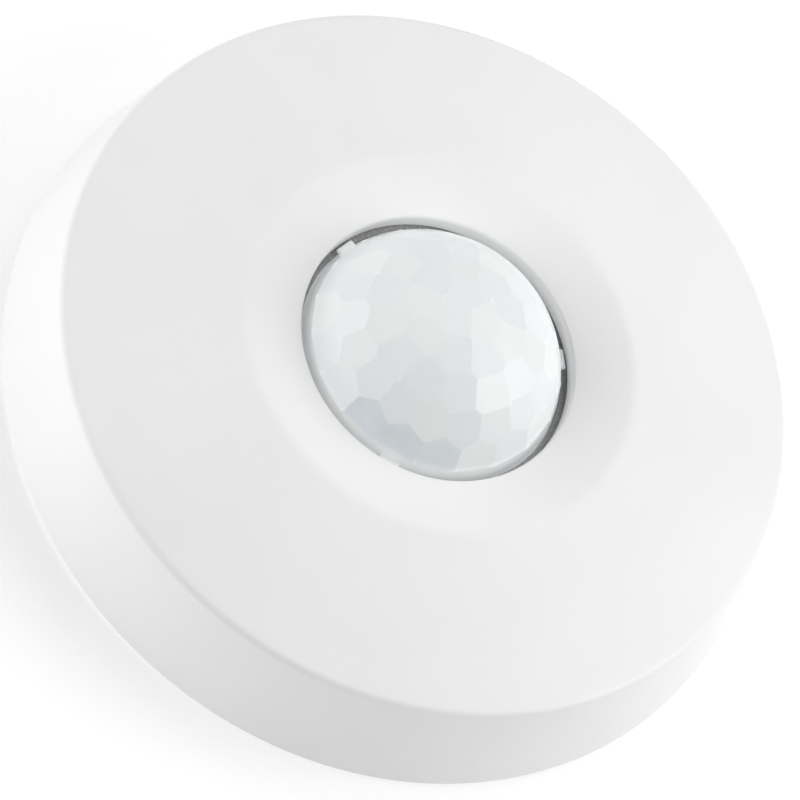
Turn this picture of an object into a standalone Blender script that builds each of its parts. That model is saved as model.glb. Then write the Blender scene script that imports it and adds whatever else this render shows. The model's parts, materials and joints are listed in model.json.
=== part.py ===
"""Ceiling motion sensor: a round passive infrared detector with a dished front and a domed lens.

The model lies on its back, as if the ceiling were the floor: +Z runs from the mounting bracket out
through the lens, and the origin is the centre of the bracket's back face. The bracket is screwed to
the ceiling. The head (rear housing, board and batteries) turns on it by a bayonet, and the front
cover, which carries the lens, pulls straight off the head. All sizes are in metres.
"""

import math

import bmesh
import bpy
from mathutils import Matrix, Vector

MM = 0.001
GAP = 0.3 * MM  # left between pieces that touch
OVERLAP = 0.5 * MM  # how far a joined shape runs into its neighbour
BEYOND = 1.0 * MM  # how far a cutter runs past the face it cuts
MERGE = 0.01 * MM

# Front cover
BASE_RADIUS = 56.7 * MM
BASE_Z = 0.8 * MM
RIM_RADIUS = 53.5 * MM
RIM_Z = 17.6 * MM
RIM_ROUND = 1.4 * MM
CREST_RADIUS = 28.7 * MM
CREST_Z = 22.1 * MM
CREST_ROUND = 5.0 * MM
APERTURE_RADIUS = 20.0 * MM
APERTURE_Z = 20.6 * MM
APERTURE_ROUND = 0.5 * MM
COVER_WALL = 2.2 * MM
COLLAR_RADIUS = 24.0 * MM
COLLAR_BOTTOM = 15.6 * MM
REBATE_RADIUS = 22.0 * MM
REBATE_Z = 18.2 * MM
FACE_SLOPE = math.atan2(CREST_Z - RIM_Z, RIM_RADIUS - CREST_RADIUS)
FACE_DROP = COVER_WALL / math.cos(FACE_SLOPE)  # the sloping wall's thickness, measured along Z

# Lens: part of a sphere on a short skirt, with a flange that is clamped behind the collar
LENS_SPHERE = 19.5 * MM
LENS_CENTRE_Z = 13.0 * MM
LENS_SKIRT_TOP = 18.2 * MM
LENS_WALL = 1.0 * MM
LENS_SKIRT = math.sqrt(LENS_SPHERE ** 2 - (LENS_SKIRT_TOP - LENS_CENTRE_Z) ** 2)
FLANGE_RADIUS = 21.6 * MM
FLANGE_Z = (15.6 * MM, 16.6 * MM)
LUG_ANGLES = (43.0, 168.0, 285.0)
LUG_WIDTH = 3.0 * MM
LUG_Z = (18.2 * MM, 18.8 * MM)
LUG_REACH = (18.2 * MM, 19.6 * MM)
RETAINER_Z = (13.9 * MM, 15.3 * MM)
RETAINER_ANGLES = (15.0, 135.0, 255.0)
RETAINER_SCREW_RADIUS = 28.0 * MM
RETAINER_EAR = 3.0 * MM
EAR_STEP = 0.1 * MM  # how far the ears stand back from the ring's faces
RETAINER_BOSS = 2.6 * MM
RETAINER_SCREW_HEAD = (2.2 * MM, 1.2 * MM)  # radius and height
RETAINER_SCREW_REACH = 2.6 * MM

# Bracket and bayonet
BRACKET_RADIUS = 46.5 * MM
BRACKET_PLATE = 1.8 * MM
BRACKET_RING_TOP = 3.0 * MM
BRACKET_RING_WIDTH = 3.0 * MM
BAYONET_ANGLES = (90.0, 210.0, 330.0)
BAYONET_THICKNESS = 1.1 * MM
TAB_RADIUS = 50.0 * MM
TAB_ARC = 16.0
STOP_ARC = 3.0
HOOK_ARC = 14.0
HOOK_BOTTOM = 0.5 * MM
FIXING_RADIUS = 30.0 * MM
FIXING_ANGLES = (0.0, 90.0, 180.0, 270.0)
FIXING_WIDTH = 3.8 * MM
FIXING_LENGTH = 10.0 * MM

# Rear housing
HOUSING_RADIUS = 53.0 * MM
HOUSING_SKIRT = 2.0 * MM
HOUSING_WALL_RADIUS = 52.3 * MM
HOUSING_WALL = 1.4 * MM
HOUSING_WALL_TOP = 9.5 * MM
FLOOR_Z = (3.4 * MM, 5.0 * MM)
CATCH_ANGLES = (30.0, 150.0, 270.0)
CATCH_ARC = 10.0
CATCH_RADII = (50.0 * MM, 51.5 * MM)
CATCH_TOP = 13.0 * MM

# Circuit board, a disc cut flat on both sides to clear the batteries
BOARD_RADIUS = 42.0 * MM
BOARD_HALF_WIDTH = 27.8 * MM
BOARD_Z = (7.0 * MM, 8.6 * MM)
ON_BOARD = BOARD_Z[1] + GAP
BOARD_SCREWS = ((-34.0 * MM, 2.0 * MM), (29.0 * MM, 20.0 * MM), (29.0 * MM, -20.0 * MM))
BOARD_BOSS = 3.0 * MM
BOARD_SCREW_HEAD = (2.6 * MM, 1.4 * MM)  # radius and height
PILOT_RADIUS = 1.2 * MM
CLEARANCE_RADIUS = 1.5 * MM
SHANK_RADIUS = 0.85 * MM
SCREW_CHAMFER = 0.4 * MM

# Infrared sensor: a can on a spacer, with a window set into its top and a cone around it
SPACER_RADII = (1.6 * MM, 5.0 * MM)
SPACER_HEIGHT = 1.0 * MM
CAN_RADIUS = 4.15 * MM
CAN_HEIGHT = 4.2 * MM
CAN_CHAMFER = 0.35 * MM
CAN_FLANGE_RADIUS = 4.6 * MM
CAN_FLANGE_HEIGHT = 0.6 * MM
POCKET_SIZE = (5.4 * MM, 4.4 * MM, 2.0 * MM)
POCKET_DEPTH = 0.8 * MM
WINDOW_SIZE = (4.8 * MM, 3.8 * MM, 0.4 * MM)
SHROUD_FOOT_RADII = (6.8 * MM, 8.0 * MM)
SHROUD_MOUTH_RADII = (9.8 * MM, 11.0 * MM)
SHROUD_HEIGHT = 3.4 * MM

# Other components on the board
RADIO_PLACE = (19.0 * MM, 3.0 * MM)
RADIO_BOARD_SIZE = (18.0 * MM, 13.0 * MM, 1.0 * MM)
RADIO_SHIELD_SIZE = (13.0 * MM, 11.0 * MM, 2.2 * MM)
RADIO_SHIELD_ROUND = 0.4 * MM
CONTROLLER_PLACE = (-3.0 * MM, -18.0 * MM)
CONTROLLER_SIZE = (7.0 * MM, 7.0 * MM, 1.4 * MM)
CRYSTAL_PLACE = (7.0 * MM, -18.0 * MM)
CRYSTAL_SIZE = (4.0 * MM, 10.5 * MM, 3.2 * MM)
CRYSTAL_ROUND = 0.9 * MM
CAPACITOR_PLACES = ((-35.5 * MM, 9.5 * MM), (-35.5 * MM, -9.5 * MM))
CAPACITOR_RADIUS = 3.2 * MM
CAPACITOR_HEIGHT = 6.4 * MM
CAPACITOR_GROOVE = 0.3 * MM
CAPACITOR_GROOVE_Z = 1.2 * MM
LED_PLACE = (-9.0 * MM, 10.5 * MM)
LED_RADIUS = 1.5 * MM
LED_HEIGHT = 4.6 * MM
LED_FLANGE_RADIUS = 1.9 * MM
LED_FLANGE_HEIGHT = 0.8 * MM
ANTENNA_START = (31.5 * MM, -7.5 * MM)
ANTENNA_RADIUS = 2.2 * MM
ANTENNA_WIRE = 0.4 * MM
ANTENNA_LENGTH = 15.0 * MM
ANTENNA_TURNS = 5

# Batteries, one on each side of the board
BATTERY_RADIUS = 5.25 * MM
BATTERY_Y = 36.0 * MM
BATTERY_Z = FLOOR_Z[1] + GAP + BATTERY_RADIUS
BATTERY_ENDS = (-19.6 * MM, 23.7 * MM)
BATTERY_NUB_RADIUS = 1.9 * MM
BATTERY_NUB_HEIGHT = 1.2 * MM
BATTERY_CHAMFER = 0.5 * MM
BAY_END = 26.0 * MM
BAY_WALL = 1.4 * MM
BAY_TOP = 12.5 * MM
BAY_RIB_TOP = 8.0 * MM
BAY_RIB_LENGTH = 30.0 * MM
BAY_RIB_THICKNESS = 1.2 * MM
CONTACT_THICKNESS = 0.5 * MM
CONTACT_WIDTH = 8.0 * MM
SPRING_WIRE = 0.35 * MM
SPRING_RADII = (3.6 * MM, 2.2 * MM)
SPRING_TURNS = 3

# Small moving pieces
TAMPER_PLACE = (-24.0 * MM, 17.0 * MM)
TAMPER_RIB_Z = 17.0 * MM
TAMPER_RIB_RADIUS = 2.0 * MM
REAR_TAMPER_PLACE = (0.0, 23.0 * MM)
LEARN_PLACE = (-24.0 * MM, -17.0 * MM)
SWITCH_WIDTH = 6.0 * MM
SWITCH_HEIGHT = 3.6 * MM
SWITCH_FLOOR = 1.4 * MM  # thickness left under a switch's well
SWITCH_ROOF = 1.2 * MM  # thickness left above the rear switch's well
PLUNGER_RADIUS = 1.6 * MM
PLUNGER_GRIP = 1.0 * MM  # how much of a plunger is inside its switch at rest
PLUNGER_CLEARANCE = 0.4 * MM
PLUNGER_GUIDE = 1.6 * MM  # thickness of the guide around the rear plunger
LEARN_PROUD = 1.2 * MM
DIP_PLACE = (19.0 * MM, -18.0 * MM)
DIP_WAYS = 2
DIP_PITCH = 2.54 * MM
DIP_TRAVEL = 1.5 * MM
DIP_SIZE = (DIP_WAYS * DIP_PITCH + 1.6 * MM, 6.0 * MM, 3.0 * MM)
DIP_SLOT_WIDTH = 1.4 * MM
DIP_SLOT_DEPTH = 1.6 * MM
DIP_SLIDER_LENGTH = 1.1 * MM
DIP_SLIDER_PROUD = 0.2 * MM

STEPS_LARGE = 48
STEPS_MEDIUM = 32
STEPS_SMALL = 20
STEPS_SCREW = 12


# ---------------------------------------------------------------- materials and frames
def clear_scene():
    for obj in list(bpy.data.objects):
        bpy.data.objects.remove(obj, do_unlink=True)


def collection(name):
    made = bpy.data.collections.new(name)
    bpy.context.scene.collection.children.link(made)
    return made


def material(name, colour, roughness, metallic=0.0):
    made = bpy.data.materials.new(name)
    made.use_nodes = True
    shader = made.node_tree.nodes["Principled BSDF"]
    shader.inputs["Base Color"].default_value = (*colour, 1.0)
    shader.inputs["Roughness"].default_value = roughness
    shader.inputs["Metallic"].default_value = metallic
    return made


def frame(name, parent=None, at=(0, 0, 0), turn=0.0):
    """An empty for a group of pieces, standing on the axis that the group moves about."""
    empty = bpy.data.objects.new(name, None)
    PARTS.objects.link(empty)
    empty.parent = parent
    empty.location = at
    empty.rotation_euler.z = math.radians(turn)
    return empty


clear_scene()
PARTS = collection("motion_sensor")
CUTTERS = collection("cutters")

WHITE_ABS = material("white_abs", (0.87, 0.87, 0.87), 0.42)
GREY_ABS = material("grey_abs", (0.74, 0.75, 0.75), 0.5)
LENS_PLASTIC = material("lens_plastic", (0.86, 0.88, 0.88), 0.3)
BLACK_FOAM = material("black_foam", (0.03, 0.03, 0.03), 0.9)
BOARD_GREEN = material("board_green", (0.03, 0.22, 0.09), 0.45)
BLACK_PLASTIC = material("black_plastic", (0.03, 0.03, 0.03), 0.4)
TIN_PLATE = material("tin_plate", (0.72, 0.72, 0.70), 0.3, 1.0)
STEEL = material("steel", (0.6, 0.6, 0.6), 0.3, 1.0)
FILTER_GLASS = material("filter_glass", (0.12, 0.12, 0.13), 0.15)
NATURAL_PLASTIC = material("natural_plastic", (0.9, 0.9, 0.88), 0.5)
BATTERY_WRAP = material("battery_wrap", (0.10, 0.16, 0.30), 0.35)
LED_EPOXY = material("led_epoxy", (0.75, 0.10, 0.08), 0.2)
SWITCH_RED = material("switch_red", (0.6, 0.05, 0.04), 0.4)

BRACKET_FRAME = frame("bracket_frame")
HEAD_FRAME = frame("head_frame", BRACKET_FRAME)
COVER_FRAME = frame("cover_frame", HEAD_FRAME)


# ---------------------------------------------------------------- shapes
def place(obj, finish=None, parent=None):
    """Makes obj a piece of the sensor, or a helper shape if it has no finish."""
    for holder in list(obj.users_collection):
        holder.objects.unlink(obj)
    if finish is None:
        CUTTERS.objects.link(obj)
        obj.hide_render = True
        obj.display_type = "WIRE"
    else:
        PARTS.objects.link(obj)
        obj.data.materials.append(finish)
        obj.parent = parent
    return obj


def turned(name, profile, finish, parent, steps=STEPS_LARGE, closed=False):
    """A solid turned about Z from (radius, z) points that run down its outer side, top to bottom.

    A profile that is closed leaves a hole along the axis. Any other starts and ends on the axis.
    """
    edges = [(i, i + 1) for i in range(len(profile) - 1)]
    if closed:
        edges.append((len(profile) - 1, 0))
    mesh = bpy.data.meshes.new(name)
    mesh.from_pydata([(r, 0, z) for r, z in profile], edges, [])
    obj = bpy.data.objects.new(name, mesh)
    turn = obj.modifiers.new("turn", "SCREW")
    turn.steps = turn.render_steps = steps
    turn.use_merge_vertices = True
    turn.merge_threshold = MERGE
    turn.use_smooth_shade = True
    return place(obj, finish, parent)


def cylinder(name, radius, low, high, at=(0, 0), finish=None, parent=None, sides=16):
    bpy.ops.mesh.primitive_cylinder_add(vertices=sides, radius=radius, depth=high - low)
    obj = bpy.context.object
    obj.name = obj.data.name = name
    obj.location = (*at, (low + high) / 2)
    obj.data.shade_smooth()
    obj.data.set_sharp_from_angle(angle=math.radians(40))
    return place(obj, finish, parent)


def box(name, size, centre, finish=None, parent=None, turn=0.0):
    bpy.ops.mesh.primitive_cube_add(size=1)
    obj = bpy.context.object
    obj.name = obj.data.name = name
    obj.data.transform(Matrix.Diagonal((*size, 1)))
    obj.location = centre
    obj.rotation_euler.z = math.radians(turn)
    return place(obj, finish, parent)


def block(name, size, at, low, finish=None, parent=None, turn=0.0):
    """A box that stands on the height low, centred over the point at."""
    return box(name, size, (*at, low + size[2] / 2), finish, parent, turn)


def rounded(obj, width):
    bevel = obj.modifiers.new("edges", "BEVEL")
    bevel.width = width
    bevel.segments = 2
    bevel.limit_method = "ANGLE"
    return obj


def combine(obj, operation, *others):
    for other in others:
        boolean = obj.modifiers.new(f"{operation.lower()}_{other.name}", "BOOLEAN")
        boolean.operation = operation
        boolean.solver = "EXACT"
        boolean.object = other
    return obj


def polar(radius, degrees):
    angle = math.radians(degrees)
    return Vector((radius * math.cos(angle), radius * math.sin(angle)))


def arc(centre, radius, start, end, count):
    """Points on an arc from one angle to another, in degrees, both ends included."""
    return [Vector(centre) + polar(radius, start + (end - start) * i / count) for i in range(count + 1)]


def rounded_corner(before, corner, after, radius, count=2):
    """The points of an arc that rounds a profile's corner."""
    corner = Vector(corner)
    back = (Vector(before) - corner).normalized()
    on = (Vector(after) - corner).normalized()
    half = back.angle(on) / 2
    centre = corner + (back + on).normalized() * radius / math.sin(half)
    first = (corner + back * radius / math.tan(half) - centre).normalized()
    last = (corner + on * radius / math.tan(half) - centre).normalized()
    return [centre + first.slerp(last, i / count) * radius for i in range(count + 1)]


def meshed(guide, finish, parent):
    """Turns a curve object into a closed mesh object of the same name, and removes the curve."""
    bpy.context.scene.collection.objects.link(guide)
    bpy.context.view_layer.update()
    graph = bpy.context.evaluated_depsgraph_get()
    mesh = bpy.data.meshes.new_from_object(guide.evaluated_get(graph))
    name, matrix = guide.name, guide.matrix_world.copy()
    bpy.data.objects.remove(guide)
    work = bmesh.new()
    work.from_mesh(mesh)
    bmesh.ops.remove_doubles(work, verts=work.verts, dist=MERGE)
    bmesh.ops.recalc_face_normals(work, faces=work.faces)
    work.to_mesh(mesh)
    work.free()
    mesh.materials.clear()
    obj = bpy.data.objects.new(name, mesh)
    obj.matrix_world = matrix
    return place(obj, finish, parent)


def raised_outline(name, outline, low, high, finish=None, parent=None):
    """A flat outline raised from one height to another."""
    curve = bpy.data.curves.new(name, "CURVE")
    curve.dimensions = "2D"
    curve.fill_mode = "BOTH"
    curve.extrude = (high - low) / 2
    spline = curve.splines.new("POLY")
    spline.points.add(len(outline) - 1)
    for point, (x, y) in zip(spline.points, outline):
        point.co = (x, y, 0, 1)
    spline.use_cyclic_u = True
    guide = bpy.data.objects.new(name, curve)
    guide.location.z = (low + high) / 2
    return meshed(guide, finish, parent)


def arc_block(name, radii, heights, middle, span, segments=4):
    """A block bounded by two radii, two heights and two angles."""
    inner, outer = radii
    start, end = middle - span / 2, middle + span / 2
    outline = arc((0, 0), outer, start, end, segments) + arc((0, 0), inner, end, start, segments)
    return raised_outline(name, outline, *heights)


def slot_outline(width, length, centre, degrees, segments=6):
    """A slot with round ends, its long way turned to an angle."""
    half = (length - width) / 2
    ends = arc((half, 0), width / 2, -90, 90, segments) + arc((-half, 0), width / 2, 90, 270, segments)
    turn = Matrix.Rotation(math.radians(degrees), 2)
    return [turn @ point + Vector(centre) for point in ends]


def coil(name, radii, length, turns, wire_radius, finish, parent):
    """A coil along +X from the origin, its radius running from the first value to the second."""
    points_per_turn = 8
    count = round(points_per_turn * turns)
    curve = bpy.data.curves.new(name, "CURVE")
    curve.dimensions = "3D"
    curve.bevel_depth = wire_radius
    curve.bevel_resolution = 2
    curve.use_fill_caps = True
    spline = curve.splines.new("POLY")
    spline.points.add(count)
    for i, point in enumerate(spline.points):
        share = i / count
        y, z = polar(radii[0] + (radii[1] - radii[0]) * share, 360 * turns * share)
        point.co = (length * share, y, z, 1)
    return place(bpy.data.objects.new(name, curve), finish, parent)


def screw(name, at, head, seat, tip, parent):
    """A pan-head screw whose head sits on the height seat. Its tip may be above or below the seat."""
    head_radius, head_height = head
    way = 1 if tip > seat else -1
    head_top = seat - way * head_height
    profile = [
        (0, tip), (SHANK_RADIUS, tip - way * SHANK_RADIUS), (SHANK_RADIUS, seat), (head_radius, seat),
        (head_radius, head_top + way * SCREW_CHAMFER), (head_radius - SCREW_CHAMFER, head_top), (0, head_top),
    ]
    if way < 0:
        profile.reverse()
    obj = turned(name, profile, STEEL, parent, steps=STEPS_SCREW)
    obj.location = (*at, 0)


# ---------------------------------------------------------------- mounting bracket
def make_bracket():
    """The plate that is screwed to the ceiling, with three bayonet tabs and their stops on its ring."""
    ring_inner = BRACKET_RADIUS - BRACKET_RING_WIDTH
    bracket = turned("mounting_bracket", [
        (0, BRACKET_PLATE), (ring_inner, BRACKET_PLATE), (ring_inner, BRACKET_RING_TOP),
        (BRACKET_RADIUS, BRACKET_RING_TOP), (BRACKET_RADIUS, 0), (0, 0),
    ], WHITE_ABS, BRACKET_FRAME)
    radii = (BRACKET_RADIUS - BRACKET_RING_WIDTH / 2, TAB_RADIUS)
    for i, angle in enumerate(BAYONET_ANGLES, 1):
        tab = arc_block(f"tab_{i}", radii, (BRACKET_RING_TOP - BAYONET_THICKNESS, BRACKET_RING_TOP),
                        angle, TAB_ARC)
        stop_angle = angle - HOOK_ARC / 2 - STOP_ARC / 2 - math.degrees(GAP / TAB_RADIUS)
        stop = arc_block(f"stop_{i}", radii, (0, BRACKET_RING_TOP), stop_angle, STOP_ARC)
        combine(bracket, "UNION", tab, stop)
    for i, angle in enumerate(FIXING_ANGLES, 1):
        outline = slot_outline(FIXING_WIDTH, FIXING_LENGTH, polar(FIXING_RADIUS, angle), angle + 90)
        slot = raised_outline(f"fixing_slot_{i}", outline, -BEYOND, BRACKET_PLATE + BEYOND)
        combine(bracket, "DIFFERENCE", slot)


# ---------------------------------------------------------------- rear housing
def make_rear_housing():
    """A shallow tub behind the board, with bayonet hooks, cover catches, bosses and battery bays."""
    wall_inner = HOUSING_WALL_RADIUS - HOUSING_WALL
    skirt_inner = HOUSING_RADIUS - HOUSING_SKIRT
    housing = turned("rear_housing", [
        (HOUSING_WALL_RADIUS, HOUSING_WALL_TOP), (HOUSING_WALL_RADIUS, FLOOR_Z[1]),
        (HOUSING_RADIUS, FLOOR_Z[1]), (HOUSING_RADIUS, HOOK_BOTTOM), (skirt_inner, HOOK_BOTTOM),
        (skirt_inner, FLOOR_Z[0]), (0, FLOOR_Z[0]), (0, FLOOR_Z[1]), (wall_inner, FLOOR_Z[1]),
        (wall_inner, HOUSING_WALL_TOP),
    ], GREY_ABS, HEAD_FRAME, closed=True)
    root = FLOOR_Z[0] + OVERLAP
    for i, angle in enumerate(BAYONET_ANGLES, 1):
        radii = (BRACKET_RADIUS + 2 * GAP, skirt_inner + OVERLAP)
        heights = (HOOK_BOTTOM, HOOK_BOTTOM + BAYONET_THICKNESS)
        combine(housing, "UNION", arc_block(f"hook_{i}", radii, heights, angle, HOOK_ARC))
    for i, angle in enumerate(CATCH_ANGLES, 1):
        catch = arc_block(f"catch_{i}", CATCH_RADII, (root, CATCH_TOP), angle, CATCH_ARC)
        combine(housing, "UNION", catch)
    for i, at in enumerate(BOARD_SCREWS, 1):
        combine(housing, "UNION", cylinder(f"board_boss_{i}", BOARD_BOSS, root, BOARD_Z[0] - GAP, at))
    guide = cylinder("rear_tamper_guide", PLUNGER_RADIUS + PLUNGER_GUIDE, root, BOARD_Z[0] - 2 * GAP,
                     REAR_TAMPER_PLACE)
    combine(housing, "UNION", guide, *battery_bay_walls(root))
    for i, at in enumerate(BOARD_SCREWS, 1):
        pilot = cylinder(f"board_pilot_{i}", PILOT_RADIUS, root, BOARD_Z[0] + BEYOND, at)
        combine(housing, "DIFFERENCE", pilot)
    combine(housing, "DIFFERENCE", plunger_hole("housing_plunger_hole", FLOOR_Z[0]))


def battery_bay_walls(root):
    """The upright ends and the low side ribs of both battery bays."""
    walls = []
    rib_offset = BATTERY_RADIUS + BAY_RIB_THICKNESS
    for side, bay in ((1, "left"), (-1, "right")):
        for end in (1, -1):
            size = (BAY_WALL, 2 * BATTERY_RADIUS, BAY_TOP - root)
            at = (end * (BAY_END + BAY_WALL / 2), side * BATTERY_Y)
            walls.append(block(f"{bay}_bay_end_{end}", size, at, root))
            size = (BAY_RIB_LENGTH, BAY_RIB_THICKNESS, BAY_RIB_TOP - root)
            at = (0, side * BATTERY_Y + end * rib_offset)
            walls.append(block(f"{bay}_bay_rib_{end}", size, at, root))
    return walls


def plunger_hole(name, low):
    """A hole for the rear tamper plunger through whatever stands above the height low."""
    radius = PLUNGER_RADIUS + PLUNGER_CLEARANCE
    return cylinder(name, radius, low - BEYOND, ON_BOARD + BEYOND, REAR_TAMPER_PLACE)


# ---------------------------------------------------------------- circuit board
def make_board():
    corner = math.degrees(math.asin(BOARD_HALF_WIDTH / BOARD_RADIUS))
    right = arc((0, 0), BOARD_RADIUS, -corner, corner, 8)
    left = arc((0, 0), BOARD_RADIUS, 180 - corner, 180 + corner, 8)
    board = raised_outline("circuit_board", right + left, *BOARD_Z, BOARD_GREEN, HEAD_FRAME)
    for i, at in enumerate(BOARD_SCREWS, 1):
        hole = cylinder(f"board_hole_{i}", CLEARANCE_RADIUS, BOARD_Z[0] - BEYOND, BOARD_Z[1] + BEYOND, at)
        combine(board, "DIFFERENCE", hole)
        screw(f"board_screw_{i}", at, BOARD_SCREW_HEAD, ON_BOARD, FLOOR_Z[1] - OVERLAP, HEAD_FRAME)
    combine(board, "DIFFERENCE", plunger_hole("board_plunger_hole", BOARD_Z[0]))


def make_pyro_sensor():
    """The infrared element in its metal can, with its spacer, filter window and draught shroud."""
    spacer_inner, spacer_outer = SPACER_RADII
    spacer_top = ON_BOARD + SPACER_HEIGHT
    turned("pyro_spacer", [
        (spacer_outer, spacer_top), (spacer_outer, ON_BOARD), (spacer_inner, ON_BOARD),
        (spacer_inner, spacer_top),
    ], NATURAL_PLASTIC, HEAD_FRAME, STEPS_SMALL, closed=True)
    can_foot = spacer_top + GAP
    can_top = can_foot + CAN_HEIGHT
    flange_top = can_foot + CAN_FLANGE_HEIGHT
    can = turned("pyro_can", [
        (0, can_top), (CAN_RADIUS - CAN_CHAMFER, can_top), (CAN_RADIUS, can_top - CAN_CHAMFER),
        (CAN_RADIUS, flange_top), (CAN_FLANGE_RADIUS, flange_top), (CAN_FLANGE_RADIUS, can_foot),
        (0, can_foot),
    ], TIN_PLATE, HEAD_FRAME, STEPS_SMALL)
    pocket_floor = can_top - POCKET_DEPTH
    combine(can, "DIFFERENCE", block("window_pocket", POCKET_SIZE, (0, 0), pocket_floor))
    block("pyro_window", WINDOW_SIZE, (0, 0), pocket_floor + GAP, FILTER_GLASS, HEAD_FRAME)
    foot_inner, foot_outer = SHROUD_FOOT_RADII
    mouth_inner, mouth_outer = SHROUD_MOUTH_RADII
    mouth_z = ON_BOARD + SHROUD_HEIGHT
    turned("pyro_shroud", [
        (mouth_outer, mouth_z), (foot_outer, ON_BOARD), (foot_inner, ON_BOARD), (mouth_inner, mouth_z),
    ], NATURAL_PLASTIC, HEAD_FRAME, STEPS_SMALL, closed=True)


def make_board_components():
    block("radio_board", RADIO_BOARD_SIZE, RADIO_PLACE, ON_BOARD, BOARD_GREEN, HEAD_FRAME)
    shield_foot = ON_BOARD + RADIO_BOARD_SIZE[2] + GAP
    shield = block("radio_shield", RADIO_SHIELD_SIZE, RADIO_PLACE, shield_foot, TIN_PLATE, HEAD_FRAME)
    rounded(shield, RADIO_SHIELD_ROUND)
    block("controller_chip", CONTROLLER_SIZE, CONTROLLER_PLACE, ON_BOARD, BLACK_PLASTIC, HEAD_FRAME)
    crystal = block("crystal_can", CRYSTAL_SIZE, CRYSTAL_PLACE, ON_BOARD, TIN_PLATE, HEAD_FRAME)
    rounded(crystal, CRYSTAL_ROUND)
    for i, at in enumerate(CAPACITOR_PLACES, 1):
        make_capacitor(f"capacitor_{i}", at)
    make_status_led()


def make_capacitor(name, at):
    radius, groove = CAPACITOR_RADIUS, CAPACITOR_GROOVE
    top, groove_z = ON_BOARD + CAPACITOR_HEIGHT, ON_BOARD + CAPACITOR_GROOVE_Z
    obj = turned(name, [
        (0, top), (radius - groove, top), (radius, top - groove), (radius, groove_z + groove),
        (radius - groove, groove_z), (radius, groove_z - groove), (radius, ON_BOARD), (0, ON_BOARD),
    ], BLACK_PLASTIC, HEAD_FRAME, STEPS_SMALL)
    obj.location = (*at, 0)


def make_status_led():
    dome_z = ON_BOARD + LED_HEIGHT - LED_RADIUS
    flange_z = ON_BOARD + LED_FLANGE_HEIGHT
    dome = [(0, dome_z + LED_RADIUS)] + arc((0, dome_z), LED_RADIUS, 60, 0, 2)
    led = turned("status_led", [
        *dome, (LED_RADIUS, flange_z), (LED_FLANGE_RADIUS, flange_z), (LED_FLANGE_RADIUS, ON_BOARD),
        (0, ON_BOARD),
    ], LED_EPOXY, HEAD_FRAME, STEPS_SCREW)
    led.location = (*LED_PLACE, 0)


def make_antenna():
    """A short helical aerial lying along the board."""
    axis_z = ON_BOARD + GAP + ANTENNA_RADIUS + ANTENNA_WIRE
    axis_frame = frame("antenna_frame", HEAD_FRAME, (*ANTENNA_START, axis_z), 90)
    radii = (ANTENNA_RADIUS, ANTENNA_RADIUS)
    coil("antenna_coil", radii, ANTENNA_LENGTH, ANTENNA_TURNS, ANTENNA_WIRE, STEEL, axis_frame)


# ---------------------------------------------------------------- batteries
def make_batteries():
    """Two cylindrical cells, laid opposite ways, each with a coil contact and a flat contact."""
    negative, positive = BATTERY_ENDS
    nub_end = positive + BATTERY_NUB_HEIGHT
    for i, turn in enumerate((0, 180), 1):
        bay = frame(f"battery_frame_{i}", HEAD_FRAME, turn=turn)
        cell = turned(f"battery_{i}", [
            (0, nub_end), (BATTERY_NUB_RADIUS, nub_end), (BATTERY_NUB_RADIUS, positive),
            (BATTERY_RADIUS - BATTERY_CHAMFER, positive), (BATTERY_RADIUS, positive - BATTERY_CHAMFER),
            (BATTERY_RADIUS, negative), (0, negative),
        ], BATTERY_WRAP, bay, STEPS_SMALL)
        cell.rotation_euler.y = math.radians(90)
        cell.location = (0, BATTERY_Y, BATTERY_Z)
        spring_start = -BAY_END + GAP + SPRING_WIRE
        spring_end = negative - GAP - SPRING_WIRE
        spring_frame = frame(f"contact_spring_frame_{i}", bay, (spring_start, BATTERY_Y, BATTERY_Z))
        length = spring_end - spring_start
        coil(f"contact_spring_{i}", SPRING_RADII, length, SPRING_TURNS, SPRING_WIRE, STEEL, spring_frame)
        size = (CONTACT_THICKNESS, CONTACT_WIDTH, CONTACT_WIDTH)
        at = (BAY_END - GAP - CONTACT_THICKNESS / 2, BATTERY_Y)
        block(f"contact_plate_{i}", size, at, BATTERY_Z - CONTACT_WIDTH / 2, TIN_PLATE, bay)


# ---------------------------------------------------------------- switches
def make_switch(name, at, well_low, well_high):
    """A small square switch body with a round well for its plunger."""
    body = block(name, (SWITCH_WIDTH, SWITCH_WIDTH, SWITCH_HEIGHT), at, ON_BOARD, BLACK_PLASTIC, HEAD_FRAME)
    well = cylinder(f"{name}_well", PLUNGER_RADIUS + PLUNGER_CLEARANCE, well_low, well_high, at)
    return combine(body, "DIFFERENCE", well)


def make_switches():
    """The cover tamper, the wall tamper and the learn button. Each plunger moves along Z."""
    body_top = ON_BOARD + SWITCH_HEIGHT
    well_floor = ON_BOARD + SWITCH_FLOOR
    facing_front = (
        ("tamper", TAMPER_PLACE, TAMPER_RIB_Z - GAP),
        ("learn", LEARN_PLACE, body_top + LEARN_PROUD),
    )
    for name, at, top in facing_front:
        make_switch(f"{name}_switch", at, well_floor, body_top + BEYOND)
        cylinder(f"{name}_plunger", PLUNGER_RADIUS, body_top - PLUNGER_GRIP, top, at, SWITCH_RED, HEAD_FRAME)
    make_switch("rear_tamper_switch", REAR_TAMPER_PLACE, ON_BOARD - BEYOND, body_top - SWITCH_ROOF)
    cylinder("rear_tamper_plunger", PLUNGER_RADIUS, BRACKET_PLATE + GAP, ON_BOARD + PLUNGER_GRIP,
             REAR_TAMPER_PLACE, SWITCH_RED, HEAD_FRAME)


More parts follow.
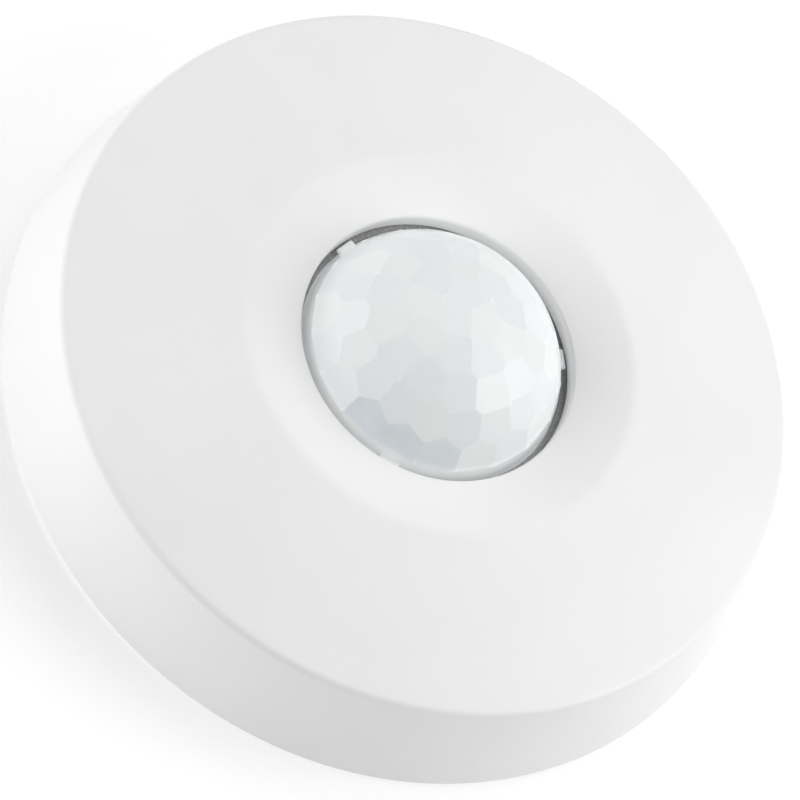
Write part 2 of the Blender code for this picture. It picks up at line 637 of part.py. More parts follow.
def make_dip_switch():
    """A small setting switch with one slider for each way, all at their low-Y ends."""
    x, y = DIP_PLACE
    slot_floor = ON_BOARD + DIP_SIZE[2] - DIP_SLOT_DEPTH
    slot_size = (DIP_SLOT_WIDTH, DIP_TRAVEL + DIP_SLIDER_LENGTH + 2 * GAP, 2 * DIP_SLOT_DEPTH)
    slider_size = (DIP_SLOT_WIDTH - 2 * GAP, DIP_SLIDER_LENGTH, DIP_SLOT_DEPTH + DIP_SLIDER_PROUD)
    body = block("dip_switch", DIP_SIZE, DIP_PLACE, ON_BOARD, SWITCH_RED, HEAD_FRAME)
    for i in range(DIP_WAYS):
        way_x = x + (i - (DIP_WAYS - 1) / 2) * DIP_PITCH
        combine(body, "DIFFERENCE", block(f"dip_slot_{i + 1}", slot_size, (way_x, y), slot_floor))
        slider_at = (way_x, y - DIP_TRAVEL / 2)
        block(f"dip_slider_{i + 1}", slider_size, slider_at, slot_floor + GAP, NATURAL_PLASTIC, HEAD_FRAME)


# ---------------------------------------------------------------- front cover and lens
def face_inner_z(radius):
    """Height of the sloping face's inner side at a radius outside the crest."""
    return RIM_Z + (RIM_RADIUS - radius) * math.tan(FACE_SLOPE) - FACE_DROP


def cover_profile():
    """The cover's closed section: out over the dish, crest and rim, down the side, and back inside."""
    aperture = (APERTURE_RADIUS, APERTURE_Z)
    crest = (CREST_RADIUS, CREST_Z)
    rim = (RIM_RADIUS, RIM_Z)
    base = (BASE_RADIUS, BASE_Z)
    sill = (APERTURE_RADIUS, REBATE_Z)
    rim_inner = RIM_RADIUS - COVER_WALL
    return [
        sill, *rounded_corner(sill, aperture, crest, APERTURE_ROUND),
        *rounded_corner(aperture, crest, rim, CREST_ROUND),
        *rounded_corner(crest, rim, base, RIM_ROUND, 3),
        base, (BASE_RADIUS - COVER_WALL, BASE_Z), (rim_inner, face_inner_z(rim_inner)),
        (CREST_RADIUS, face_inner_z(CREST_RADIUS)), (COLLAR_RADIUS, face_inner_z(CREST_RADIUS) - OVERLAP),
        (COLLAR_RADIUS, COLLAR_BOTTOM), (REBATE_RADIUS, COLLAR_BOTTOM), (REBATE_RADIUS, REBATE_Z),
    ]


def make_front_cover():
    """The shell, with bosses for the lens retainer's screws and a rib that presses the tamper."""
    cover = turned("front_cover", cover_profile(), WHITE_ABS, COVER_FRAME, closed=True)
    boss_top = face_inner_z(RETAINER_SCREW_RADIUS) - OVERLAP
    for i, angle in enumerate(RETAINER_ANGLES, 1):
        at = polar(RETAINER_SCREW_RADIUS, angle)
        boss = cylinder(f"retainer_boss_{i}", RETAINER_BOSS, RETAINER_Z[1] + GAP, boss_top + 2 * OVERLAP, at)
        pilot = cylinder(f"retainer_pilot_{i}", PILOT_RADIUS, RETAINER_Z[1] - BEYOND, boss_top - OVERLAP, at)
        combine(cover, "UNION", boss)
        combine(cover, "DIFFERENCE", pilot)
    rib = cylinder("tamper_rib", TAMPER_RIB_RADIUS, TAMPER_RIB_Z, boss_top + OVERLAP, TAMPER_PLACE)
    combine(cover, "UNION", rib)


def make_lens():
    centre = (0, LENS_CENTRE_Z)
    outer_edge = math.degrees(math.acos(LENS_SKIRT / LENS_SPHERE))
    inner_edge = math.degrees(math.acos((LENS_SKIRT - LENS_WALL) / (LENS_SPHERE - LENS_WALL)))
    outer = arc(centre, LENS_SPHERE, 90, outer_edge, 7)
    inner = arc(centre, LENS_SPHERE - LENS_WALL, inner_edge, 90, 7)
    outer[0].x = inner[-1].x = 0
    lens = turned("lens", [
        *outer, (LENS_SKIRT, FLANGE_Z[1]), (FLANGE_RADIUS, FLANGE_Z[1]), (FLANGE_RADIUS, FLANGE_Z[0]),
        (LENS_SKIRT - LENS_WALL, FLANGE_Z[0]), *inner,
    ], LENS_PLASTIC, COVER_FRAME, STEPS_MEDIUM)
    for i, angle in enumerate(LUG_ANGLES, 1):
        size = (LUG_REACH[1] - LUG_REACH[0], LUG_WIDTH, LUG_Z[1] - LUG_Z[0])
        lug = block(f"lens_lug_{i}", size, polar(sum(LUG_REACH) / 2, angle), LUG_Z[0], turn=angle)
        combine(lens, "UNION", lug)


def make_lens_gasket():
    outer, inner = REBATE_RADIUS - GAP, LENS_SKIRT + GAP
    top, bottom = REBATE_Z - GAP, FLANGE_Z[1] + GAP
    turned("lens_gasket", [(outer, top), (outer, bottom), (inner, bottom), (inner, top)],
           BLACK_FOAM, COVER_FRAME, STEPS_MEDIUM, closed=True)


def make_lens_retainer():
    """A ring with three screwed ears that clamps the lens flange against the collar."""
    low, high = RETAINER_Z
    inner = LENS_SKIRT - LENS_WALL
    ring = turned("lens_retainer", [(COLLAR_RADIUS, high), (COLLAR_RADIUS, low), (inner, low), (inner, high)],
                  GREY_ABS, COVER_FRAME, STEPS_MEDIUM, closed=True)
    ear_start = inner + EAR_STEP
    ear_end = RETAINER_SCREW_RADIUS + RETAINER_EAR
    for i, angle in enumerate(RETAINER_ANGLES, 1):
        at = polar(RETAINER_SCREW_RADIUS, angle)
        middle = polar((ear_start + ear_end) / 2, angle)
        outline = slot_outline(2 * RETAINER_EAR, ear_end - ear_start, middle, angle)
        ear = raised_outline(f"retainer_ear_{i}", outline, low + EAR_STEP, high - EAR_STEP)
        hole = cylinder(f"retainer_hole_{i}", CLEARANCE_RADIUS, low - BEYOND, high + BEYOND, at)
        combine(ring, "UNION", ear)
        combine(ring, "DIFFERENCE", hole)
        seat = low + EAR_STEP - GAP
        screw(f"retainer_screw_{i}", at, RETAINER_SCREW_HEAD, seat, high + RETAINER_SCREW_REACH, COVER_FRAME)


def main():
    make_bracket()
    make_rear_housing()
    make_board()
    make_pyro_sensor()
    make_board_components()
    make_antenna()
    make_batteries()
    make_switches()
    make_dip_switch()
    make_front_cover()
    make_lens()
    make_lens_gasket()
    make_lens_retainer()


main()
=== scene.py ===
"""Ceiling motion sensor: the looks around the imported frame.

Each CAD node is replaced by a finely modelled piece in the same place. The white cover and the bracket
are turned and cut, the lens is a smooth clear skin over a milky layer of flat facets, and the
head holds a board with its components. Every material is made of nodes. All sizes are in metres.
"""

import json
import math

import bmesh
import bpy
from mathutils import Matrix, Vector

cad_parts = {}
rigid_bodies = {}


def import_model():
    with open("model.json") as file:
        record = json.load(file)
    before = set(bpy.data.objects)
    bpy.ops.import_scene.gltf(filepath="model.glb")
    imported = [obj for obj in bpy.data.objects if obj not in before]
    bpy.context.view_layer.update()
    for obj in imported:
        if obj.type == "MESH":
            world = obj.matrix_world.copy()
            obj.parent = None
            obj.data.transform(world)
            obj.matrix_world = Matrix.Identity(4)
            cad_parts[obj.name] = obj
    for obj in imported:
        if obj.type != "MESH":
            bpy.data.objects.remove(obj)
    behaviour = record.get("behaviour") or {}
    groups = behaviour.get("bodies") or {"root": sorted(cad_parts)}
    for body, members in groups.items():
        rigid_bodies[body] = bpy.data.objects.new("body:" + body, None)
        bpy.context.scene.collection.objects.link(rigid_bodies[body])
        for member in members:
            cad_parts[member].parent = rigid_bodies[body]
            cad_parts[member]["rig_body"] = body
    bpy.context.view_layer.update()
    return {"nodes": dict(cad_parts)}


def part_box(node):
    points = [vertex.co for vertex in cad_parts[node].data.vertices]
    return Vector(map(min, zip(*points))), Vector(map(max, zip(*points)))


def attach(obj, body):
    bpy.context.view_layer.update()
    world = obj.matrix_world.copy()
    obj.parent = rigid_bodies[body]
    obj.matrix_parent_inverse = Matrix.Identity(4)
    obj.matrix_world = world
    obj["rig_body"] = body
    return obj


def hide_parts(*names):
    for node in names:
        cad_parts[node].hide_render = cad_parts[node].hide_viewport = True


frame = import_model()

MM = 0.001
TINY = 1e-7
SHARP_ANGLE = 35.0  # edges over this stay sharp, in degrees
FINE_EDGE = 0.15 * MM  # roundings of edges
CRISP_EDGE = 0.2 * MM
SOFT_EDGE = 0.3 * MM
GAP = 0.3 * MM  # between parts that meet loosely

# Front cover, from its box in the frame and its own proportions
COVER_LOW, COVER_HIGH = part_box("front_cover")
BASE_RADIUS = COVER_HIGH.x
BASE_Z = COVER_LOW.z
RIM_RADIUS = BASE_RADIUS - 3.2 * MM
RIM_Z = BASE_Z + 16.8 * MM
RIM_ROUND = 1.4 * MM
CREST_RADIUS = 28.7 * MM
CREST_Z = BASE_Z + 21.3 * MM
CREST_ROUND = 5.0 * MM
APERTURE_RADIUS = 20.0 * MM
APERTURE_Z = BASE_Z + 19.8 * MM
APERTURE_ROUND = 0.55 * MM
COVER_WALL = 2.2 * MM
INNER_RIM_ROUND = 1.0 * MM
INNER_CREST_ROUND = 2.0 * MM
COLLAR_RADIUS = 24.0 * MM
COLLAR_BOTTOM = 15.6 * MM
REBATE_RADIUS = 22.0 * MM
COLLAR_FILLET = 0.5 * MM
REBATE_Z = 18.2 * MM
FACE_SLOPE = math.atan2(CREST_Z - RIM_Z, RIM_RADIUS - CREST_RADIUS)
FACE_DROP = COVER_WALL / math.cos(FACE_SLOPE)  # the sloping wall's thickness, measured along Z
TAMPER_RIB_RADIUS = 2.0 * MM
TAMPER_RIB_TOP = 20.0 * MM

# Lens
LENS_LOW, LENS_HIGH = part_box("lens")
LENS_SPHERE = 19.7 * MM  # a little larger than the CAD's, to close the slot round the dome
LENS_CENTRE_Z = LENS_HIGH.z - LENS_SPHERE
LENS_SKIRT_TOP = 18.2 * MM
LENS_SKIRT = math.sqrt(LENS_SPHERE ** 2 - (LENS_SKIRT_TOP - LENS_CENTRE_Z) ** 2)
LENS_WALL = 1.0 * MM
FLANGE_RADIUS = LENS_HIGH.x
FLANGE_Z = (LENS_LOW.z, LENS_LOW.z + 1.0 * MM)
LUG_ANGLES = (43.0, 168.0, 285.0)
LUG_WIDTH = 3.0 * MM
LUG_Z = (18.2 * MM, 18.8 * MM)
LUG_REACH = (17.8 * MM, 19.6 * MM)
LUG_ROUND = 0.25 * MM
FACET_DEPTH = 0.28 * MM  # how far the facets lie under the smooth skin
FACET_EDGE = 0.16 * MM
FACET_REACH = 40.0  # facets further apart than this never meet, in degrees
PAINTED_SHADE_FACETS = 3  # how many of the outer ring get painted shade, for the dark of the housing that they look down into
DARKEST_PAINTED_SHADE = -0.95  # below 0, a facet's tone goes from the milky tones to the painted shade
PAINTED_SHADE_STEP = 0.2
TONE_TURN = 2.399  # the golden angle in radians, which spreads the facets' tones evenly
FACET_FOOT = 68.5  # where the facets end, in degrees from the lens's axis
# Rings of facets: degrees from the lens's axis, how many, and the first one's direction
FACET_RINGS = ((8.0, 3, -112.0), (20.5, 9, -109.5), (34.5, 14, -82.0), (49.5, 19, -86.2), (61.8, 19, -94.3))

# Retainer and screws
RETAINER_ANGLES = (15.0, 135.0, 255.0)
RETAINER_SCREW_RADIUS = 28.0 * MM
RETAINER_BOSS = (2.6 * MM, COLLAR_BOTTOM, 20.4 * MM)  # radius, bottom, top
EAR_RADIUS = 26.0 * MM  # where the middle of each ear is
EAR_SIZE = (10.0 * MM, 6.0 * MM)
SCREW_HOLE = 1.5 * MM
SCREW_HEAD = 1.2 * MM
SCREW_HEAD_RIM = 0.55 * MM
UNTHREADED = 1.6 * MM  # the head and the point
THREAD_RADIUS = 0.85 * MM
THREAD_PITCH = 0.5 * MM
CROSS_WIDTH = 0.5 * MM
CROSS_TURNS = (20.0, 110.0)

# Bracket
BRACKET_PLATE_TOP = 1.8 * MM
BRACKET_RIM = (43.5 * MM, 46.5 * MM)
BRACKET_RIM_TOP = 3.0 * MM
BRACKET_RIBS = (14.0 * MM, 22.0 * MM, 38.0 * MM)
FIXING_ANGLES = (0.0, 90.0, 180.0, 270.0)
FIXING_RADIUS = 30.0 * MM
FIXING_SLOT = (10.0 * MM, 3.8 * MM)
BAYONET_ANGLES = (90.0, 210.0, 330.0)
TAB_REACH = (46.0 * MM, 50.0 * MM)
TAB_ARC = 16.0
STOP_ARC = 3.0
STOP_BACK = 9.4  # how far the stop is behind the middle of its tab, in degrees

# Rear housing
HOUSING_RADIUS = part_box("rear_housing")[1].x
HOUSING_FOOT = 0.5 * MM
HOUSING_SKIRT = 51.0 * MM
HOUSING_WALL = (50.9 * MM, 52.3 * MM)
HOUSING_WALL_TOP = 9.5 * MM
FLOOR_Z = (3.4 * MM, 5.0 * MM)
HOOK_REACH = (47.1 * MM, 51.3 * MM)
HOOK_Z = (0.52 * MM, 1.6 * MM)
HOOK_ARC = 14.0
CATCH_ANGLES = (30.0, 150.0, 270.0)
CATCH_REACH = (50.0 * MM, 51.5 * MM)
CATCH_Z = (FLOOR_Z[1], 13.0 * MM)
CATCH_ARC = 10.0
BOARD_BOSS = (3.0 * MM, 4.8 * MM, 6.7 * MM)  # radius, bottom, top
GUIDE_RADII = (1.9 * MM, 3.2 * MM)
GUIDE_TOP = 6.4 * MM
BATTERY_Y = 36.0 * MM
BAY_END = (1.4 * MM, 10.5 * MM, 8.0 * MM)
BAY_END_AT = (26.7 * MM, 8.5 * MM)  # along X, and height
BAY_WEB = (0.9 * MM, 3.0 * MM, 5.0 * MM)
BAY_WEB_AT = (27.9 * MM, 7.2 * MM)
BAY_RIB = (30.0 * MM, 1.2 * MM, 3.6 * MM)
BAY_RIB_AT = (6.45 * MM, 6.2 * MM)  # along Y from the battery's middle, and height

# Board
BOARD_LOW, BOARD_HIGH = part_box("circuit_board")
ON_BOARD = BOARD_HIGH.z
BOARD_SCREWS = ("board_screw_1", "board_screw_2", "board_screw_3")
TAMPER_HOLE = 2.0 * MM
PAD_WIDTH = 0.9 * MM
PLATING = (-0.02 * MM, 0.05 * MM)  # bottom and top of the tinned rings, from the board's face
TRACK_LAYER = (-0.02 * MM, 0.03 * MM)
TRACK_WIDTH = 0.34 * MM
TRACK_SIDESTEP = 2.4 * MM
TRACK_START = -37.0 * MM  # along X, for the lane that starts furthest out
TRACK_STAGGER = 6.0 * MM
SHORTEST_RUN = 7.0 * MM
RUN_STEP = 4.0 * MM
LANE_PITCH = 0.8 * MM
BUNDLE_PITCH = 4.2 * MM
VIA_RADIUS = 0.42 * MM
VIA_TOP = ON_BOARD + 0.045 * MM
PLATED_HOLE_RADIUS = 0.35 * MM
CHIP_PITCH = 3.5 * MM
CHIP_SIZE = (1.2 * MM, 1.0 * MM)
CHIP_END = (0.35 * MM, 1.04 * MM)
CHIP_CLEARANCE = 1.6 * MM
CHIP_DRIFT = 0.9 * MM
LARGE_PART = 60.0 * MM  # a node wider than this isn't a component

# Components
SENSOR_CAN_RADIUS = 4.15 * MM
SENSOR_FLANGE = 0.5 * MM
FILTER_POCKET = (5.4 * MM, 4.4 * MM, 2.0 * MM)
FILTER_POCKET_Z = 14.6 * MM
SENSOR_TAB = (0.8 * MM, 0.8 * MM, 0.4 * MM)
SPACER_BORE = 1.6 * MM
SHROUD_TOP_INNER = 9.8 * MM
SHROUD_FOOT = (6.8 * MM, 8.0 * MM)
EDGE_PAD = (0.9 * MM, 0.5 * MM)
EDGE_PAD_PITCH = 1.8 * MM
LEAD_WIDTH = 0.3 * MM
LEAD_PITCH = 0.75 * MM
# Parts of a controller's lead: how far out and how high the middle is, then the length and the thickness
LEAD_SHOULDER = (3.75 * MM, 0.55 * MM, 0.55 * MM, 0.12 * MM)
LEAD_FOOT = (4.15 * MM, 0.12 * MM, 0.55 * MM, 0.12 * MM)
LEAD_BEND = (3.95 * MM, 0.33 * MM, 0.12 * MM, 0.5 * MM)
CRYSTAL_RIM = 0.3 * MM
LED_RADIUS = 1.5 * MM
LED_FLANGE = 1.0 * MM
ANTENNA_WIRE = 0.4 * MM
ANTENNA_RADIUS = 2.2 * MM
BATTERY_NUB = (1.9 * MM, 1.2 * MM)  # radius and height
BAND_FROM_END = (8.0 * MM, 16.0 * MM)
SPRING_WIRE = 0.35 * MM
SPRING_RADII = (3.45 * MM, 2.2 * MM)
SWITCH_OPENING = 1.9 * MM
DIP_SLOT = (1.4 * MM, 3.2 * MM, 3.0 * MM)
DIP_LEG_X = 1.27 * MM

# Camera and light
CAMERA_LENS = 270.0
CAMERA_ELEVATION = 56.64
CAMERA_ROLL = 40.3
CAMERA_DISTANCE = 828.0 * MM
CAMERA_AIM = (3.8 * MM, 5.4 * MM)
CAMERA_AIM_Z = BASE_Z + 15.4 * MM
SOFT_BOX_SIZE = 0.8
SOFT_BOX_DISTANCE = 1.0
CAMERA_CLIP = (0.05, 20.0)
FLOOR_DROP = 0.05 * MM  # the floor lies just below the object
FLOOR_GLOW = 0.52
WORLD_GLOW = 0.02
# Soft lights: direction along the camera's right, up and backward axes, power in watts, and if they mirror
SOFT_BOXES = {
    "key_right": ((0.95, -0.10, 0.28), 7.2, True),
    "fill_left": ((-0.93, 0.36, 0.0), 6.5, True),
    "top_right": ((0.7, 0.65, 0.3), 5.7, False),
    "top_left": ((-0.65, 0.7, 0.3), 2.2, False),
    "front_left": ((-0.6, 0.1, 0.8), 5.5, False),
}

STEPS = 288
MILK_THROUGH = 0.3  # how much of the lens is lit from behind
PAINTED_LENS_GLOW = 0.18  # painted glow: an emission that stands in for the light scattered inside the lens's wall
# the colour of the lens's painted glow
PAINTED_LENS_GLOW_COLOUR = (0.93, 0.97, 1.0, 1.0)


# ---------------------------------------------------------------- mesh helpers
def middle_and_size(node):
    """The middle and the size of a CAD node's box."""
    low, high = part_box(node)
    return (low + high) / 2, high - low


def polar(radius, degrees):
    angle = math.radians(degrees)
    return Vector((radius * math.cos(angle), radius * math.sin(angle)))


def new_object(name, mesh):
    obj = bpy.data.objects.new(name, mesh)
    bpy.context.scene.collection.objects.link(obj)
    return obj


def from_bmesh(name, work, sharp=SHARP_ANGLE):
    """Makes an object from a bmesh, smooth but for the edges over an angle, and frees the bmesh."""
    bmesh.ops.recalc_face_normals(work, faces=work.faces)
    mesh = bpy.data.meshes.new(name)
    work.to_mesh(mesh)
    work.free()
    mesh.shade_smooth()
    mesh.set_sharp_from_angle(angle=math.radians(sharp))
    return new_object(name, mesh)


def rounded(corners, segments=6):
    """A closed outline from (a, b) or (a, b, radius) corners, those with a radius made into arcs."""
    outline = []
    for i, corner in enumerate(corners):
        here = Vector(corner[:2])
        if len(corner) == 2:
            outline.append(here)
            continue
        back = (Vector(corners[i - 1][:2]) - here).normalized()
        on = (Vector(corners[(i + 1) % len(corners)][:2]) - here).normalized()
        half = back.angle(on) / 2
        centre = here + (back + on).normalized() * corner[2] / math.sin(half)
        first = (here + back * corner[2] / math.tan(half) - centre).normalized()
        last = (here + on * corner[2] / math.tan(half) - centre).normalized()
        outline += [centre + first.slerp(last, k / segments) * corner[2] for k in range(segments + 1)]
    return outline


def lathe(name, outline, steps=STEPS, sharp=SHARP_ANGLE, closed=True):
    """A shape turned about Z from an outline of (radius, z) points, which is closed for a solid."""
    work = bmesh.new()
    rings = []
    for radius, z in outline:
        if radius < TINY:
            rings.append([work.verts.new((0, 0, z))] * steps)
        else:
            spots = [polar(radius, 360 * k / steps) for k in range(steps)]
            rings.append([work.verts.new((p.x, p.y, z)) for p in spots])
    for upper, lower in zip(rings, rings[1:] + (rings[:1] if closed else [])):
        for k in range(steps):
            corners = dict.fromkeys([upper[k], lower[k], lower[k - 1], upper[k - 1]])
            if len(corners) > 2:
                work.faces.new(corners)
    return from_bmesh(name, work, sharp)


def block(name, size, centre, turn=0.0, bevel=0.0, segments=3):
    """A box centred on a point, turned about Z, with rounded edges."""
    work = bmesh.new()
    bmesh.ops.create_cube(work, size=1)
    bmesh.ops.scale(work, vec=size, verts=work.verts)
    if bevel:
        edges = work.edges[:]
        bmesh.ops.bevel(work, geom=edges, offset=bevel, segments=segments, profile=0.5, affect="EDGES")
    place = Matrix.Translation(centre) @ Matrix.Rotation(math.radians(turn), 4, "Z")
    bmesh.ops.transform(work, matrix=place, verts=work.verts)
    return from_bmesh(name, work)


def shifted(obj, at):
    """Moves the shape of an object to a place given as (x, y)."""
    obj.data.transform(Matrix.Translation((*at, 0)))
    return obj


def drum(name, radius, low, high, at=(0, 0), bevel=0.0, steps=48):
    """An upright cylinder with rounded rims."""
    rim = (radius, high, bevel) if bevel else (radius, high)
    foot = (radius, low, bevel) if bevel else (radius, low)
    return shifted(lathe(name, rounded([(0, high), rim, foot, (0, low)], 3), steps), at)


def merged(name, objects):
    """One object made of several, which are used up."""
    work = bmesh.new()
    for obj in objects:
        work.from_mesh(obj.data)
        bpy.data.objects.remove(obj)
    mesh = bpy.data.meshes.new(name)
    work.to_mesh(mesh)
    work.free()
    return new_object(name, mesh)


def extruded(name, outline, low, high, bevel=0.0):
    """An upright solid from a flat outline, with its rims rounded."""
    work = bmesh.new()
    face = work.faces.new([work.verts.new((x, y, low)) for x, y in outline])
    moved = bmesh.ops.extrude_face_region(work, geom=[face])["geom"]
    top = [v for v in moved if isinstance(v, bmesh.types.BMVert)]
    bmesh.ops.translate(work, vec=(0, 0, high - low), verts=top)
    if bevel:
        rims = [e for e in work.edges if abs(e.verts[0].co.z - e.verts[1].co.z) < TINY]
        bmesh.ops.bevel(work, geom=rims, offset=bevel, segments=2, profile=0.5, affect="EDGES")
    return from_bmesh(name, work)


def arc_block(name, radii, heights, middle, arc, bevel=0.0, steps=10):
    """A block that follows an arc about Z."""
    angles = [middle - arc / 2 + arc * i / steps for i in range(steps + 1)]
    outline = [polar(radii[1], a) for a in angles] + [polar(radii[0], a) for a in reversed(angles)]
    return extruded(name, outline, *heights, bevel)


def stadium(length, width, at=(0, 0), turn=0.0, steps=10):
    """The outline of a slot with round ends."""
    ends = []
    for side in (1, -1):
        for i in range(steps + 1):
            spot = polar(width / 2, -90 + 180 * i / steps) + Vector(((length - width) / 2, 0))
            ends.append(spot * side)
    return [Matrix.Rotation(math.radians(turn), 2) @ spot + Vector(at) for spot in ends]


def tube(name, path, radius, sides=10):
    """A round wire along a path of points."""
    work = bmesh.new()
    rings = []
    for i, spot in enumerate(path):
        along = (path[min(i + 1, len(path) - 1)] - path[max(i - 1, 0)]).normalized()
        side = along.cross(Vector((0.3, 0.2, 1))).normalized()
        up = side.cross(along)
        turns = [polar(radius, 360 * k / sides) for k in range(sides)]
        rings.append([work.verts.new(spot + side * t.x + up * t.y) for t in turns])
    for first, second in zip(rings, rings[1:]):
        for k in range(sides):
            work.faces.new((first[k - 1], first[k], second[k], second[k - 1]))
    work.faces.new(rings[0])
    work.faces.new(rings[-1])
    return from_bmesh(name, work)


def laid_along_x(obj, at, flip=False):
    """Turns an upright shape to lie along X, with its foot at a point."""
    turn = Matrix.Rotation(math.radians(-90 if flip else 90), 4, "Y")
    obj.data.transform(Matrix.Translation(at) @ turn)
    return obj


def combined(obj, operation, others):
    """Joins or cuts obj with other objects, which are used up."""
    for other in others:
        boolean = obj.modifiers.new("combine", "BOOLEAN")
        boolean.operation = operation
        boolean.solver = "EXACT"
        boolean.object = other
    graph = bpy.context.evaluated_depsgraph_get()
    mesh = bpy.data.meshes.new_from_object(obj.evaluated_get(graph))
    obj.modifiers.clear()
    obj.data = mesh
    for other in others:
        bpy.data.objects.remove(other)
    mesh.shade_smooth()
    mesh.set_sharp_from_angle(angle=math.radians(SHARP_ANGLE))
    return obj


# ---------------------------------------------------------------- material helpers
class Nodes:
    """Builds a material's node tree around one Principled shader."""

    def __init__(self, name, **uniform):
        self.material = bpy.data.materials.new(name)
        self.material.use_nodes = True
        self.tree = self.material.node_tree
        self.shader = self.tree.nodes["Principled BSDF"]
        self.output = self.tree.nodes["Material Output"]
        self.place = self.add("TexCoord").outputs["Object"]
        for key, value in uniform.items():
            self.shader.inputs[key.replace("_", " ")].default_value = value

    def add(self, kind, **settings):
        node = self.tree.nodes.new(kind if kind.startswith("Shader") else f"ShaderNode{kind}")
        for key, value in settings.items():
            setattr(node, key, value)
        return node

    def link(self, source, target):
        self.tree.links.new(source, target)

    def noise(self, size, detail=3.0, roughness=0.5, stretch=None):
        """A noise value with features of a size in metres, which may be stretched along an axis."""
        node = self.add("TexNoise")
        node.inputs["Scale"].default_value = 1 / size
        node.inputs["Detail"].default_value = detail
        node.inputs["Roughness"].default_value = roughness
        source = self.place
        if stretch:
            mapping = self.add("Mapping")
            mapping.inputs["Scale"].default_value = stretch
            self.link(self.place, mapping.inputs["Vector"])
            source = mapping.outputs["Vector"]
        self.link(source, node.inputs["Vector"])
        return node.outputs["Fac"]

    def spread(self, value, low, high, start=0.3, end=0.7):
        """The value mapped from start..end to low..high."""
        node = self.add("MapRange")
        node.inputs["From Min"].default_value = start
        node.inputs["From Max"].default_value = end
        node.inputs["To Min"].default_value = low
        node.inputs["To Max"].default_value = high
        self.link(value, node.inputs["Value"])
        return node.outputs["Result"]

    def power(self, value, exponent):
        node = self.add("Math", operation="POWER")
        node.inputs[1].default_value = exponent
        self.link(value, node.inputs[0])
        return node.outputs[0]

    def mix(self, factor, first, second, blend="MIX"):
        node = self.add("Mix", data_type="RGBA", blend_type=blend)
        for socket, value in ((node.inputs[0], factor), (node.inputs[6], first), (node.inputs[7], second)):
            if isinstance(value, bpy.types.NodeSocket):
                self.link(value, socket)
            elif isinstance(value, tuple):
                socket.default_value = (*value, 1.0)
            else:
                socket.default_value = value
        return node.outputs[2]

    def bump(self, height, depth, strength=1.0, after=None):
        node = self.add("Bump")
        node.inputs["Strength"].default_value = strength
        node.inputs["Distance"].default_value = depth
        self.link(height, node.inputs["Height"])
        if after:
            self.link(after, node.inputs["Normal"])
        return node.outputs["Normal"]

    def finish(self, **sockets):
        for key, source in sockets.items():
            self.link(source, self.shader.inputs[key.replace("_", " ")])
        return self.material


def moulded_plastic(name, colour, roughness, grain=0.25 * MM, depth=0.004 * MM):
    """Moulded plastic: slight tone drift, a fine spark-eroded grain, and patches of polish from handling."""
    n = Nodes(name, IOR=1.5)
    drift = n.noise(28 * MM, 2.0)
    darker = tuple(c * 0.965 for c in colour)
    tone = n.mix(n.spread(drift, 0, 1), darker, colour)
    fine = n.noise(grain, 2.0, 0.6)
    waviness = n.noise(6 * MM, 1.0)
    normal = n.bump(fine, depth, after=n.bump(waviness, depth * 2))
    polish = n.spread(n.noise(9 * MM, 4.0, 0.6), roughness - 0.04, roughness + 0.05)
    return n.finish(Base_Color=tone, Roughness=polish, Normal=normal)


def clear_skin(name):
    """The lens's smooth outer skin: clear seen square on, milky and shining at glancing angles."""
    # painted glow: the skin gives off the same emission as the milky layer
    n = Nodes(name, IOR=1.45, Emission_Color=PAINTED_LENS_GLOW_COLOUR, Emission_Strength=PAINTED_LENS_GLOW)
    share = n.add("Math", operation="MULTIPLY_ADD")
    share.inputs[1].default_value = 0.9
    share.inputs[2].default_value = 0.08
    n.link(n.power(n.add("LayerWeight").outputs["Facing"], 5), share.inputs[0])
    tone = n.mix(n.spread(n.noise(6 * MM, 2.0), 0, 1), (0.79, 0.81, 0.82), (0.84, 0.85, 0.85))
    ripple = n.bump(n.noise(3.5 * MM, 1.0), 0.01 * MM)
    n.finish(Base_Color=tone, Normal=ripple, Roughness=n.spread(n.noise(5 * MM, 3.0), 0.16, 0.24))
    clear = n.add("BsdfTransparent")
    both = n.add("MixShader")
    n.link(share.outputs[0], both.inputs[0])
    n.link(clear.outputs[0], both.inputs[1])
    n.link(n.shader.outputs[0], both.inputs[2])
    n.link(both.outputs[0], n.output.inputs["Surface"])
    return n.material


def milky_lens(name, cool, warm):
    """Milky polyethylene lit through from behind, with a painted glow as emission, each facet a little
    different in tone.
    """
    # painted glow: an emission on the milky layer, as if lit from within
    n = Nodes(name, IOR=1.5, Emission_Color=PAINTED_LENS_GLOW_COLOUR, Emission_Strength=PAINTED_LENS_GLOW)
    facet = n.add("Attribute", attribute_name="facet_tone_and_shade").outputs["Fac"]
    tone = n.mix(n.spread(facet, 0, 1, 0, 1), cool, warm)
    # painted shade: a facet with a tone below 0 turns blue-grey, for the dark it looks into
    tone = n.mix(n.spread(facet, 1, 0, -1, 0), tone, (0.69, 0.74, 0.78))
    cloud = n.noise(2.5 * MM, 3.0)
    tone = n.mix(n.spread(cloud, 0.0, 0.25), tone, (0.92, 0.93, 0.94))
    n.finish(Base_Color=tone, Roughness=n.spread(n.noise(4 * MM, 2.0), 0.2, 0.27))
    glow = n.add("BsdfTranslucent")
    n.link(tone, glow.inputs["Color"])
    both = n.add("MixShader")
    both.inputs[0].default_value = MILK_THROUGH
    n.link(n.shader.outputs[0], both.inputs[1])
    n.link(glow.outputs[0], both.inputs[2])
    n.link(both.outputs[0], n.output.inputs["Surface"])
    return n.material


def foam(name, colour):
    n = Nodes(name, IOR=1.4)
    cells = n.add("TexVoronoi")
    cells.inputs["Scale"].default_value = 1 / (0.35 * MM)
    n.link(n.place, cells.inputs["Vector"])
    tone = n.mix(cells.outputs["Distance"], tuple(c * 0.75 for c in colour), tuple(c * 1.3 for c in colour))
    rough = n.spread(n.noise(1 * MM), 0.8, 0.95)
    return n.finish(Base_Color=tone, Roughness=rough, Normal=n.bump(cells.outputs["Distance"], 0.1 * MM))


